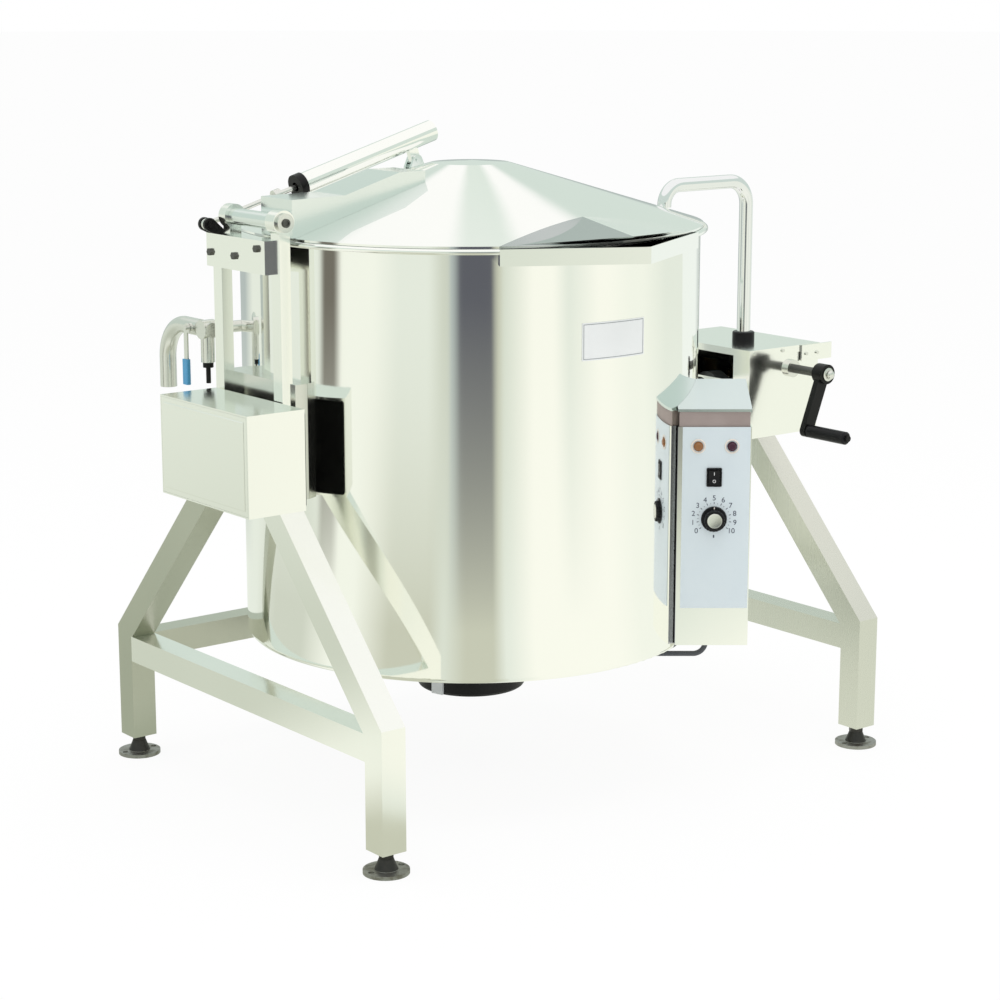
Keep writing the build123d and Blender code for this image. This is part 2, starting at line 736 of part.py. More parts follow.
with BuildPart() as front_post:
    slab(post_x, post_y["front"], (post_foot, hinge_z - 6))
    bar(front(post_y["front"][1], hinge_x, hinge_z), ear_r, post_width)
    bar(front(post_y["front"][1] + 1, hinge_x, hinge_z), pin_r + fit, post_width + 2, Mode.SUBTRACT)
finish(front_post, "front_post")

# The head is one weldment with the rear post: both stand on the left trunnion's pad.
with BuildPart() as hinge_head:
    slab(post_x, post_y["rear"], (post_foot, head_bottom))
    slab(head_x, (post_y["front"][1], post_y["rear"][1]), (head_bottom, head_top))
    with BuildSketch(front(rear_ear_y[1], hinge_x, hinge_z)):
        Circle(ear_r)
        with Locations((0, (head_top - hinge_z) / 2)):
            Rectangle(2 * ear_r - 20, hinge_z - head_top)
    extrude(amount=rear_ear_y[1] - rear_ear_y[0])
    bar(front(rear_ear_y[1] + 1, hinge_x, hinge_z), pin_r + fit, 30, Mode.SUBTRACT)
finish(hinge_head, "hinge_head")

with BuildPart() as hinge_pin:
    bar(front(rear_ear_y[1] + 4, hinge_x, hinge_z), pin_r, rear_ear_y[1] + 4 - post_y["front"][0] + 1)
    bar(front(post_y["front"][0] - seat, hinge_x, hinge_z), 17, 6)
finish(hinge_pin, "hinge_pin")

with BuildPart() as hinge_bolts:
    for y, z in ((-18, head_top - 15), (56, head_bottom + 26), (post_rear_y, head_bottom + 26)):
        with BuildSketch(side(head_x[0], y, z)):
            RegularPolygon(7, 6)
        extrude(amount=-5)
finish(hinge_bolts, "hinge_bolts")

# ---------------------------------------------------------------- lid
edge_low = rim_top + seat
edge_high = edge_low + lid_edge
ring_r = vessel_r - 10
ring_depth = 12.0


def cone_height(radius):
    """Height of the lid's outer face at a distance from the kettle's axis."""
    return edge_high + (lid_r - radius) * lid_slope


def cone_solid(gap, low, mode=Mode.SUBTRACT):
    """Everything below the lid's outer face, drawn larger by a gap."""
    with BuildSketch(front(0), mode=Mode.PRIVATE) as half:
        with BuildLine():
            Polyline(
                (0, low),
                (lid_r + gap, low),
                (lid_r + gap, edge_high + gap),
                (crown_r, crown_z + gap),
                (0, crown_z + crown_rise + gap),
                close=True,
            )
        make_face()
    revolve(half.sketch, axis=Axis((axis_x, axis_y, 0), (0, 0, 1)), mode=mode)


beak_root = (0, -beak_start, cone_height(beak_start))
beak_tip = (0, -beak_reach, beak_tip_z)
with BuildPart() as lid:
    cone_solid(0, edge_low, Mode.ADD)
    for turn in (lip_half_angle, -lip_half_angle):
        foot = (lid_r * sin(radians(turn)), -lid_r * cos(radians(turn)), edge_high)
        base = [(axis_x + x, axis_y + y, z) for x, y, z in (beak_root, beak_tip, foot)]
        facet = Face(Wire.make_polygon([Vector(*p) for p in base]))
        down = facet.normal_at() if facet.normal_at().Z < 0 else -facet.normal_at()
        extrude(facet, amount=lid_sheet, dir=down)
    with BuildSketch(front(0), mode=Mode.PRIVATE) as hollow:
        with BuildLine():
            drop = lid_sheet * sqrt(1 + lid_slope**2)
            Polyline(
                (0, edge_low - 1),
                (lid_r - lid_sheet, edge_low - 1),
                (lid_r - lid_sheet, edge_high + lid_sheet * lid_slope - drop),
                (crown_r, crown_z - drop),
                (0, crown_z + crown_rise - drop),
                close=True,
            )
        make_face()
    revolve(hollow.sketch, axis=Axis((axis_x, axis_y, 0), (0, 0, 1)), mode=Mode.SUBTRACT)
    with BuildSketch(front(0), mode=Mode.PRIVATE) as drip:
        with BuildLine():
            Polyline(
                (ring_r, edge_low - ring_depth),
                (ring_r, cone_height(ring_r) - drop / 2),
                (ring_r - lid_sheet, cone_height(ring_r - lid_sheet) - drop / 2),
                (ring_r - lid_sheet, edge_low - ring_depth),
                close=True,
            )
        make_face()
    revolve(drip.sketch, axis=Axis((axis_x, axis_y, 0), (0, 0, 1)))
finish(lid, "lid")

# Formed arm that joins the lid to its hinge barrel.
arm_top = [(-lid_r, 1126), (-lid_r + 114, 1128), (-206, 1163), (-149, 1163)]
arm_sheet = 3.0
with BuildPart() as lid_arm:
    with BuildSketch(front(arm_rear)):
        with BuildLine():
            Polyline((arm_top[0][0], edge_high + 1), *arm_top, (arm_top[-1][0], edge_high + 1), close=True)
        make_face()
    extrude(amount=arm_rear - arm_front)
    with BuildSketch(front(arm_rear - arm_sheet), mode=Mode.PRIVATE) as inside:
        with BuildLine():
            inner = [(x, z - arm_sheet) for x, z in arm_top]
            first = arm_top[0][0] + arm_sheet
            last = arm_top[-1][0] + 1
            Polyline((first, edge_high), (first, inner[0][1]), *inner[1:-1], (last, inner[-1][1]), (last, edge_high), close=True)
        make_face()
    extrude(inside.sketch, amount=arm_rear - arm_front - 2 * arm_sheet, mode=Mode.SUBTRACT)
    cone_solid(fit, edge_low - 5)
    barrel = (post_y["front"][1] + seat, rear_ear_y[0] - seat)
    slab((hinge_x, arm_top[0][0]), (barrel[0], arm_rear), (hinge_z - 6, hinge_z + 8))
    bar(front(barrel[1], hinge_x, hinge_z), barrel_r, barrel[1] - barrel[0])
    bar(front(barrel[1] + 1, hinge_x, hinge_z), pin_r + fit, barrel[1] - barrel[0] + 2, Mode.SUBTRACT)
finish(lid_arm, "lid_arm")

# ---------------------------------------------------------------- spring assist
# A rod on the hinge head is drawn into a spring tube on the lid as the lid opens.
slope = radians(spring_angle)
along = Vector(cos(slope), 0, sin(slope))
anchor = Vector(axis_x + anchor_x, axis_y + spring_y, anchor_z)
swing = Vector(axis_x + swing_x, axis_y + spring_y, swing_z)
cheek = 6.0
eye_half = 5.0
cheek_gap = eye_half + 0.5
anchor_pin_r = 6.0


def on_line(distance):
    """A plane across the rod's line, at a distance from the anchor pin."""
    return Plane(origin=anchor + along * distance, x_dir=(0, 1, 0), z_dir=along)


with BuildPart() as spring_anchor:
    for y in (spring_y + cheek_gap + cheek, spring_y - cheek_gap):
        with BuildSketch(front(y)):
            with Locations((anchor_x, anchor_z)):
                Circle(12)
            with Locations((head_x[0] + 14, head_top + 0.5)):
                Rectangle(28, 1)
            make_hull()
            with Locations((anchor_x, anchor_z)):
                Circle(anchor_pin_r - 0.5, mode=Mode.SUBTRACT)
        extrude(amount=cheek)
    bar(front(spring_y + cheek_gap + cheek + 3, anchor_x, anchor_z), anchor_pin_r, 2 * (cheek_gap + cheek + 3))
finish(spring_anchor, "spring_anchor")

with BuildPart() as spring_rod:
    bar(front(spring_y + eye_half, anchor_x, anchor_z), 10.5, 2 * eye_half)
    bar(on_line(4), rod_r, rod_length - 4)
    bar(front(spring_y + eye_half + 1, anchor_x, anchor_z), anchor_pin_r + fit, 2 * eye_half + 2, Mode.SUBTRACT)
    bar(on_line(150), 11, 14)
    bar(on_line(rod_length - 12), piston_r, 12)
finish(spring_rod, "spring_rod")

mouth_r = rod_r + 4
lug_half = 5.7
lug_line = (swing - anchor).cross(along)
swing_drop = abs(lug_line.Y)
swing_along = (swing - anchor).dot(along)
with BuildPart() as spring_tube:
    bar(on_line(tube_mouth), spring_tube_r, tube_length)
    foot = Plane(origin=tuple(anchor + along * swing_along), x_dir=along, z_dir=(0, -1, 0))
    with BuildSketch(foot.offset(-lug_half)):
        with Locations((0, -swing_drop)):
            Circle(10)
        with Locations((0, -swing_drop / 2)):
            Rectangle(20, swing_drop)
    extrude(amount=2 * lug_half)
    with BuildSketch(foot.offset(-lug_half - 1), mode=Mode.PRIVATE) as eye:
        with Locations((0, -swing_drop)):
            Circle(swing_r + fit)
    extrude(eye.sketch, amount=2 * lug_half + 2, mode=Mode.SUBTRACT)
    bar(on_line(tube_mouth + 14), spring_tube_r - spring_tube_wall, tube_length - 14 - 8, Mode.SUBTRACT)
    bar(on_line(tube_mouth - 1), mouth_r, 20, Mode.SUBTRACT)
finish(spring_tube, "spring_tube")

with BuildPart() as spring_collar:
    bar(on_line(tube_mouth - 2), spring_tube_r + 2.5, 16)
    bar(on_line(tube_mouth), spring_tube_r + 0.02, 20, Mode.SUBTRACT)
    bar(on_line(tube_mouth - 3), mouth_r, 20, Mode.SUBTRACT)
finish(spring_collar, "spring_collar")

with BuildPart() as lid_bracket:
    for y in (spring_y + lug_half + 0.3 + cheek, spring_y - lug_half - 0.3):
        with BuildSketch(front(y, swing_x)):
            with Locations((0, swing_z)):
                Circle(10)
            with Locations((0, swing_z - 20)):
                Rectangle(34, 12)
            make_hull()
        extrude(amount=cheek)
    slab((swing_x - 30, swing_x + 30), (spring_y - 26, spring_y + 26), (swing_z - 50, swing_z - 20 + 2))
    cone_solid(fit, edge_low)
    lid_surface = cone_height(hypot(swing_x, spring_y))
    bar(front(spring_y + lug_half + cheek + 3, swing_x, swing_z), swing_r, 2 * (lug_half + cheek + 3))
finish(lid_bracket, "lid_bracket")

# ---------------------------------------------------------------- console on the front of the kettle
# Its sketches run along the panel to the right and, upwards, back towards the kettle.
panel_back = panel_out - console_depth
console_wall = 2.0


def console_slab(s, d, z, mode=Mode.ADD):
    """A box in the console's own frame: along the panel, out from the kettle's axis, and up."""
    with BuildSketch(level(z[0], turn=console_turn), mode=Mode.PRIVATE) as flat:
        with Locations(((s[0] + s[1]) / 2, -(d[0] + d[1]) / 2)):
            Rectangle(s[1] - s[0], d[1] - d[0])
    extrude(flat.sketch, amount=z[1] - z[0], mode=mode)


def panel_plane(s, z, out=0.0):
    """A plane on the panel's face that faces outwards, its sketches running to the right and up."""
    turn = radians(console_turn)
    right = Vector(cos(turn), sin(turn), 0)
    outward = Vector(sin(turn), -cos(turn), 0)
    middle = Vector(axis_x, axis_y, z) + right * s + outward * (panel_out + out)
    return Plane(origin=middle, x_dir=right, z_dir=outward)


lamp_z, amber_s, red_s, lamp_r = 666.0, console_left + 38, console_left + 100, 7.0
switch_s, switch_z, switch_w, switch_h = console_left + 68, 608.0, 28.0, 35.0
knob_s, knob_z, knob_r, knob_shaft_r = console_left + 69, 529.0, 24.0, 3.0
inner_w, inner_h = switch_w - 7, switch_h - 8
console_s = (console_left, console_right)
with BuildPart() as console_box:
    console_slab(console_s, (panel_back, panel_out), (console_bottom, console_top))
    console_slab(
        (console_left + console_wall, console_right - console_wall),
        (panel_back + console_wall, panel_out - console_wall),
        (console_bottom + console_wall, console_top + 1),
        Mode.SUBTRACT,
    )
    upright(shell_r + fit, console_bottom - 1, console_top + 1, Mode.SUBTRACT)
    bar(panel_plane(knob_s, knob_z, 1), knob_shaft_r + fit, -20, Mode.SUBTRACT)
    for s in (amber_s, red_s):
        bar(panel_plane(s, lamp_z, 1), 5 + fit, -20, Mode.SUBTRACT)
    with BuildSketch(panel_plane(switch_s, switch_z, 1), mode=Mode.PRIVATE) as window:
        Rectangle(inner_w + 3, inner_h + 3)
    extrude(window.sketch, amount=-20, mode=Mode.SUBTRACT)
finish(console_box, "console_box")

with BuildPart() as control_panel:
    console_slab((console_left + 9, console_right - 2), (panel_out, panel_out + 1), (panel_bottom, console_top))
    bar(panel_plane(knob_s, knob_z, 2), knob_shaft_r + 1, -4, Mode.SUBTRACT)
    for s in (amber_s, red_s):
        bar(panel_plane(s, lamp_z, 2), 5 + fit, -4, Mode.SUBTRACT)
    with BuildSketch(panel_plane(switch_s, switch_z, 2), mode=Mode.PRIVATE) as window:
        Rectangle(inner_w + 3, inner_h + 3)
    extrude(window.sketch, amount=-4, mode=Mode.SUBTRACT)
finish(control_panel, "control_panel")

inset = 3.0
with BuildPart() as vent_strip:
    console_slab((console_left + inset, console_right - inset), (panel_back, panel_out - inset), (console_top, hood_front))
    upright(shell_r + fit, console_top - 1, hood_front + 1, Mode.SUBTRACT)
finish(vent_strip, "vent_strip")

with BuildPart() as console_hood:
    turn = radians(console_turn)
    end = Vector(axis_x, axis_y, 0) + Vector(cos(turn), sin(turn), 0) * console_right
    with BuildSketch(Plane(origin=end, x_dir=(sin(turn), -cos(turn), 0), z_dir=(-cos(turn), -sin(turn), 0))):
        with BuildLine():
            Polyline(
                (panel_back, hood_front),
                (panel_out, hood_front),
                (panel_out, hood_front + 5),
                (panel_back, hood_front + 5 + hood_rise),
                close=True,
            )
        make_face()
    extrude(amount=console_right - console_left)
    upright(shell_r + fit, hood_front - 1, hood_front + hood_rise + 10, Mode.SUBTRACT)
finish(console_hood, "console_hood")

for name, s in (("amber_lamp", amber_s), ("red_lamp", red_s)):
    with BuildPart() as lamp:
        bar(panel_plane(s, lamp_z, 1), lamp_r + 2, 2)
        bar(panel_plane(s, lamp_z, -10), 5, 12)
        bar(panel_plane(s, lamp_z, 2), lamp_r, 5)
        tip_edge = lamp.faces().filter_by(GeomType.PLANE).sort_by_distance(panel_plane(s, lamp_z, 50).origin)[0]
        chamfer(tip_edge.edges(), 2)
    finish(lamp, name)

with BuildPart() as switch_bezel:
    with BuildSketch(panel_plane(switch_s, switch_z, 1)):
        RectangleRounded(switch_w, switch_h, 2)
        Rectangle(inner_w + 2, inner_h + 2, mode=Mode.SUBTRACT)
    extrude(amount=3)
finish(switch_bezel, "switch_bezel")

rocker_deep, rocker_out = 5.0, 5.5
with BuildPart() as power_switch:
    right = panel_plane(switch_s, switch_z).x_dir
    rocker_plane = Plane(origin=panel_plane(switch_s - inner_w / 2, switch_z).origin, x_dir=(0, 0, 1), z_dir=right)
    with BuildSketch(rocker_plane):
        with BuildLine():
            Polyline(
                (-inner_h / 2, 0),
                (-inner_h / 2, rocker_out + 1),
                (0, rocker_out - 1),
                (inner_h / 2, rocker_out + 1),
                (inner_h / 2, 0),
                (4, -rocker_deep),
                (-4, -rocker_deep),
                close=True,
            )
        make_face()
    extrude(amount=inner_w)
finish(power_switch, "power_switch")

knob_deep = 19.0
with BuildPart() as thermostat_knob:
    bar(panel_plane(knob_s, knob_z, 1 + seat), knob_r, 5)
    with BuildSketch(panel_plane(knob_s, knob_z, 6)):
        Circle(knob_r - 4)
    extrude(amount=knob_deep - 6, taper=4)
    bar(panel_plane(knob_s, knob_z, 3), knob_shaft_r, -16)
finish(thermostat_knob, "thermostat_knob")

# Flexible conduit from the console's floor to the kettle's, slack below both.
conduit_r = 5.0
conduit_out = 150.0
conduit_z = shell_bottom - 23
conduit_points = [
    (console_left + 69, console_bottom),
    (console_left + 57, conduit_z),
    (console_left - 45, conduit_z),
    (console_left - 58, shell_bottom),
]
gland_r = 9.0
turn = radians(console_turn)
conduit_frame = Plane(
    origin=Vector(axis_x, axis_y, 0) + Vector(sin(turn), -cos(turn), 0) * conduit_out,
    x_dir=(cos(turn), sin(turn), 0),
    z_dir=(sin(turn), -cos(turn), 0),
)
with BuildPart() as console_conduit:
    with BuildLine(conduit_frame, mode=Mode.PRIVATE) as route:
        FilletPolyline(*conduit_points, radius=[23, 18])
    with BuildSketch(Plane(origin=route.line @ 0, z_dir=route.line % 0), mode=Mode.PRIVATE) as cable:
        Circle(conduit_r)
    sweep(cable.sketch, path=route.line)
    console_slab(console_s, (panel_back, panel_out), (console_bottom, console_bottom + 30), Mode.SUBTRACT)
    with BuildSketch(level(shell_bottom), mode=Mode.PRIVATE) as trim:
        Circle(shell_r)
    extrude(trim.sketch, amount=30, mode=Mode.SUBTRACT)
finish(console_conduit, "console_conduit")

# ---------------------------------------------------------------- bare plate on the front of the shell
plate_turns, plate_z = (-100.8, -82.3), (850.0, 917.0)
with BuildPart() as name_plate:
    with BuildSketch(level(plate_z[0])):
        with BuildLine():
            inner_arc = CenterArc((0, 0), shell_r + fit, plate_turns[0], plate_turns[1] - plate_turns[0])
            outer_arc = CenterArc((0, 0), shell_r + 1.2, plate_turns[0], plate_turns[1] - plate_turns[0])
            Line(inner_arc @ 0, outer_arc @ 0)
            Line(inner_arc @ 1, outer_arc @ 1)
        make_face()
    extrude(amount=plate_z[1] - plate_z[0])
finish(name_plate, "name_plate")

# ---------------------------------------------------------------- steam fittings behind the left trunnion
line_x, line_z = -shell_r - 10, 865.0
tee_y, valve_y = 228.0, 265.0
line_r, nipple_r, tee_r = 16.0, 11.0, 18.0
valve_half = 24.0
stem_x = line_x - line_r
with BuildPart() as vent_valve:
    bar(side(line_x - tee_r + 3, tee_y, line_z), tee_r, 2 * tee_r - 8)
    bar(side(line_x, tee_y, line_z), nipple_r, -line_x - sqrt(shell_r**2 - tee_y**2) + 40)
    bar(front(tee_y + 20, line_x, line_z), line_r - 2, 38)
    upright(13, line_z - 62, line_z, x=line_x, y=tee_y)
    upright(shell_r + fit, line_z - 80, line_z + 60, Mode.SUBTRACT)
    bar(front(valve_y + valve_half, line_x, line_z), line_r, 2 * valve_half - 7)
    bar(side(line_x, valve_y, line_z), 9, -line_r - 3)
    bar(side(line_x, valve_y, line_z), 4, -line_r - 11)
finish(vent_valve, "vent_valve")

with BuildPart() as relief_outlet:
    upright(10, line_z - 72, line_z - 62, x=line_x, y=tee_y)
    upright(4.5, line_z - 102, line_z - 72, x=line_x, y=tee_y)
finish(relief_outlet, "relief_outlet")

lever_t = 3.0
lever_x = stem_x - 7
lever_end = 108.0
elbow_y, elbow_bottom, elbow_bend, elbow_wall = 375.0, 738.0, 70.0, 3.0
with BuildPart() as vent_lever:
    with BuildSketch(side(lever_x, valve_y, line_z)):
        Circle(9)
        with Locations((5, -32)):
            Rectangle(12, 64)
        Circle(4 + fit, mode=Mode.SUBTRACT)
    extrude(amount=lever_t)
    with BuildSketch(side(lever_x, valve_y, line_z)):
        Circle(4 + fit + 3)
        Circle(4 + fit, mode=Mode.SUBTRACT)
    extrude(amount=lever_t)
finish(vent_lever, "vent_lever")

with BuildPart() as lever_sleeve:
    slab((lever_x - 3, lever_x + lever_t + 3), (valve_y - 3, valve_y + 15), (line_z - lever_end, line_z - 60))
    long_edges = lever_sleeve.edges().filter_by(Axis.Z)
    fillet(long_edges, 3)
    slab((lever_x - fit, lever_x + lever_t + fit), (valve_y - 1 - fit, valve_y + 11 + fit), (line_z - 64 - fit, line_z - 59), Mode.SUBTRACT)
finish(lever_sleeve, "lever_sleeve")

with BuildPart() as vent_elbow:
    bend = Plane(origin=(axis_x + line_x, axis_y, 0), x_dir=(0, 1, 0), z_dir=(1, 0, 0))
    start_y = valve_y + valve_half
    with BuildLine(bend, mode=Mode.PRIVATE) as path:
        FilletPolyline((start_y, line_z), (elbow_y, line_z), (elbow_y, elbow_bottom), radius=elbow_bend)
    with BuildSketch(Plane(origin=path.line @ 0, z_dir=path.line % 0), mode=Mode.PRIVATE) as pipe:
        Circle(line_r)
        Circle(line_r - elbow_wall, mode=Mode.SUBTRACT)
    sweep(pipe.sketch, path=path.line)
finish(vent_elbow, "vent_elbow")
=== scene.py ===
"""A tilting steam jacketed kettle on its stand, with its finishes, its markings and its small parts.

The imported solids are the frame. Each section below takes one piece, or a group of like pieces, in the
order in which the kettle is put together, and gives it its surface, its finish and its place.
"""

import math

import bpy
import numpy as np
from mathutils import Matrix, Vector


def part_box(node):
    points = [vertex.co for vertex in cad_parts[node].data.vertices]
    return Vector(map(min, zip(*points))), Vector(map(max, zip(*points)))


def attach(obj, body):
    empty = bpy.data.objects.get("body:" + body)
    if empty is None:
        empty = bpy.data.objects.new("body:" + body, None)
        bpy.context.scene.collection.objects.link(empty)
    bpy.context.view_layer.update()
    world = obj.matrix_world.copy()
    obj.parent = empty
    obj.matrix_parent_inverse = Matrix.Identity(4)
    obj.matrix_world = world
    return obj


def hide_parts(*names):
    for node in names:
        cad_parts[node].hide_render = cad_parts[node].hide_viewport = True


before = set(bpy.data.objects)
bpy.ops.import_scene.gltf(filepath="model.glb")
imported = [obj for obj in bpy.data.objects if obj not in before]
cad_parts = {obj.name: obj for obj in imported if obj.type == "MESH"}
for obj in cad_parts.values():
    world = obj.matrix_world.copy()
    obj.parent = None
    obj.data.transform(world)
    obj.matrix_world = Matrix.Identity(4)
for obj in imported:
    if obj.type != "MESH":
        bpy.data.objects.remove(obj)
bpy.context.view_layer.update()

# ---------------------------------------------------------------------------------------------- studio
# The kettle stands on a pale, seamless floor in soft light from all round. Bright metal shows the
# room it stands in, so cards and dark cloths in a few tones hang round it, out of the viewer's sight.
axis = np.array([-0.11425, 0.0265])
kettle_middle = np.array([0.0, 0.0, 0.7])
viewer_at = (axis[0] - 2.811, axis[1] - 3.661, 1.520)
viewer_turn = (math.radians(90 - 12.26), 0.0, math.radians(-38.22))
lens = 87.69
floor_radius = 60.0


class Value:
    """One output socket of a node tree. Arithmetic on it, or on it and a number, adds Math nodes."""

    def __init__(self, tree, socket):
        self.tree = tree
        self.socket = socket

    def math(self, operation, other=0.0):
        return self.tree.make("ShaderNodeMath", {"operation": operation}, {0: self, 1: other})

    def math_after(self, operation, first):
        return self.tree.make("ShaderNodeMath", {"operation": operation}, {0: first, 1: self})

    def __add__(self, other):
        return self.math("ADD", other)

    def __radd__(self, other):
        return self.math_after("ADD", other)

    def __sub__(self, other):
        return self.math("SUBTRACT", other)

    def __rsub__(self, other):
        return self.math_after("SUBTRACT", other)

    def __mul__(self, other):
        return self.math("MULTIPLY", other)

    def __rmul__(self, other):
        return self.math_after("MULTIPLY", other)

    def __truediv__(self, other):
        return self.math("DIVIDE", other)

    def __rtruediv__(self, other):
        return self.math_after("DIVIDE", other)

    def __pow__(self, other):
        return self.math("POWER", other)

    def __abs__(self):
        return self.math("ABSOLUTE")

    def __lt__(self, other):
        return self.math("LESS_THAN", other)

    def __gt__(self, other):
        return self.math("GREATER_THAN", other)

    def held(self):
        """The value kept between 0 and 1."""
        return self.math("MINIMUM", 1.0).math("MAXIMUM", 0.0)

    def step(self, low, high):
        """0 below low, 1 above high and a smooth rise between them."""
        limits = {"Value": self, "From Min": low, "From Max": high}
        return self.tree.make("ShaderNodeMapRange", {"interpolation_type": "SMOOTHSTEP"}, limits, "Result")


class Tree:
    """A node tree that is written as expressions."""

    def __init__(self, tree):
        self.tree = tree
        tree.nodes.clear()

    def make(self, kind, settings=None, inputs=None, out=0):
        """Adds a node of that type, with its settings first and then its input values or links."""
        node = self.tree.nodes.new(kind)
        for name, value in (settings or {}).items():
            if name == "stops":
                ramp = node.color_ramp
                while len(ramp.elements) < len(value):
                    ramp.elements.new(0.5)
                for element, (place, colour) in zip(ramp.elements, value):
                    element.position = place
                    element.color = colour
            else:
                setattr(node, name, value)
        for name, value in (inputs or {}).items():
            if isinstance(value, Value):
                self.tree.links.new(value.socket, node.inputs[name])
            else:
                node.inputs[name].default_value = value
        return Value(self, node.outputs[out]) if len(node.outputs) else None

    def mix(self, amount, a, b):
        """Colour a where amount is 0, colour b where it is 1."""
        return self.make("ShaderNodeMix", {"data_type": "RGBA"}, {0: amount, 6: a, 7: b}, 2)

    def blend(self, amount, a, b):
        """Surface a where amount is 0, surface b where it is 1."""
        return self.make("ShaderNodeMixShader", inputs={0: amount, 1: a, 2: b})

    def parts(self, vector):
        """The three numbers of a vector."""
        first = self.make("ShaderNodeSeparateXYZ", inputs={0: vector})
        return [Value(self, output) for output in first.socket.node.outputs]

    def noise(self, place, scale, detail):
        """A cloudy pattern over the place, from about 0 to about 1."""
        inputs = {"Vector": place, "Scale": scale, "Detail": detail}
        return self.make("ShaderNodeTexNoise", inputs=inputs, out="Fac")

    def relief(self, height, depth):
        """A fine relief, a millimetre high at a depth of 1."""
        inputs = {"Height": height, "Strength": depth, "Distance": 0.001}
        return self.make("ShaderNodeBump", inputs=inputs, out="Normal")

    def covered(self, **inputs):
        """The material's surface, from the inputs of its one shader with _ for a space."""
        named = {name.replace("_", " "): value for name, value in inputs.items()}
        skin = self.make("ShaderNodeBsdfPrincipled", inputs=named)
        self.make("ShaderNodeOutputMaterial", inputs={"Surface": skin})


def coat_tree(name):
    """A new material, its empty tree and the place on the object, in metres."""
    coat = bpy.data.materials.new(name)
    coat.use_nodes = True
    tree = Tree(coat.node_tree)
    return coat, tree, tree.make("ShaderNodeTexCoord", out="Object")


def made(name, points, faces, smooth=False):
    """A mesh object at the origin from an array of points and a list of faces."""
    mesh = bpy.data.meshes.new(name)
    mesh.from_pydata(points.tolist(), [], faces)
    if smooth:
        mesh.shade_smooth()
    thing = bpy.data.objects.new(name, mesh)
    bpy.context.scene.collection.objects.link(thing)
    return thing


camera = bpy.data.objects.new("viewer", bpy.data.cameras.new("viewer"))
camera.location = viewer_at
camera.rotation_euler = viewer_turn
camera.data.lens = lens
camera.data.sensor_width = 36.0
camera.data.clip_end = 200.0
bpy.context.scene.collection.objects.link(camera)
bpy.context.scene.camera = camera
bpy.context.scene.view_settings.view_transform = "Standard"

# The studio's tones, from bright to dark.
daylight = (0.97, 0.98, 0.88)
pale = (0.91, 0.94, 0.84)
cool_pale = (0.88, 0.93, 0.88)
soft = (0.79, 0.84, 0.75)
half_tone = (0.70, 0.75, 0.65)
shade = (0.61, 0.65, 0.55)
warm_shade = (0.56, 0.58, 0.46)
cool_shade = (0.44, 0.50, 0.48)
dark_cloth = (0.14, 0.13, 0.10)
black_cloth = (0.08, 0.085, 0.105)

# Which tone hangs where: from one bearing to another, in degrees round the kettle from the right, with
# a smooth passage between neighbours. The walls are far off, the paper lies close to the kettle.
walls = (
    (0, 22, cool_pale),
    (34, 84, cool_shade),
    (98, 155.5, soft),
    (158.5, 165, dark_cloth),
    (169, 186, pale),
    (199, 213, soft),
    (220, 222, shade),
    (223.5, 224, cool_shade),
    (228, 242, black_cloth),
    (244.2, 245, warm_shade),
    (248, 249, half_tone),
    (262, 272, daylight),
    (279.5, 280.5, soft),
    (296, 302, daylight),
    (316, 324, pale),
    (342, 354, soft),
)
paper_tones = (
    (0, 20, pale),
    (95, 105, soft),
    (128, 150, shade),
    (168, 178, pale),
    (196, 214, warm_shade),
    (220, 221, half_tone),
    (230, 242, warm_shade),
    (247.5, 248.5, soft),
    (260, 300, daylight),
    (316, 340, pale),
)


def all_round(tree, cards, east, north):
    """The cards' tone at a bearing, and the bearing as a share of a full turn, from two numbers that
    point that way."""
    bearing = north.math("ARCTAN2", east) * (0.5 / math.pi)
    bearing = bearing + (bearing < 0.0)
    stops = [(edge / 360, (*tone, 1.0)) for start, end, tone in cards for edge in (start, end)]
    return tree.make("ShaderNodeValToRGB", {"stops": stops}, {"Fac": bearing}, "Color"), bearing


# Above the walls hangs a green-white haze, and over it a white ceiling with one grey beam.
haze, ceiling_white, beam_grey = (0.66, 0.75, 0.69, 1.0), (1.0, 1.0, 0.98, 1.0), (0.74, 0.82, 0.75, 1.0)
beam_bearing, beam_half, beam_soft = 51.0, 1.5, 4.0
world = bpy.data.worlds.new("studio")
bpy.context.scene.world = world
world.use_nodes = True
room = Tree(world.node_tree)
east, north, up = room.parts(room.make("ShaderNodeTexCoord", out="Generated"))
wall, bearing = all_round(room, walls, east, north)
wall = room.mix(up.step(0.02, 0.10), wall, haze)
beam = 1.0 - abs(bearing * 360 - beam_bearing).step(beam_half, beam_soft)
ceiling = room.mix(beam * (1.0 - up.step(0.60, 0.74)), ceiling_white, beam_grey)
mirrored = room.make("ShaderNodeLightPath", out="Is Glossy Ray")
seen = room.make("ShaderNodeLightPath", out="Is Camera Ray")
lighting = room.mix(mirrored, (0.86, 0.86, 0.86, 1.0), room.mix(up.step(0.50, 0.56), wall, ceiling))
shown = room.mix(seen, lighting, (1.0, 1.0, 1.0, 1.0))
sky = room.make("ShaderNodeBackground", inputs={"Color": shown, "Strength": 1.0})
room.make("ShaderNodeOutputWorld", inputs={"Surface": sky})

for name, place, size, power in (
    ("overhead", (0.0, -0.4, 4.6), 4.0, 100.0),
    ("front_left", (-3.6, -2.6, 2.6), 2.4, 32.0),
):
    lamp = bpy.data.objects.new(name, bpy.data.lights.new(name, "AREA"))
    lamp.data.size = size
    lamp.data.energy = power
    lamp.location = place
    aim = kettle_middle - np.array(place)
    lamp.rotation_euler = (math.acos(-aim[2] / np.linalg.norm(aim)), 0.0, math.atan2(aim[0], -aim[1]))
    lamp.visible_glossy = False
    bpy.context.scene.collection.objects.link(lamp)

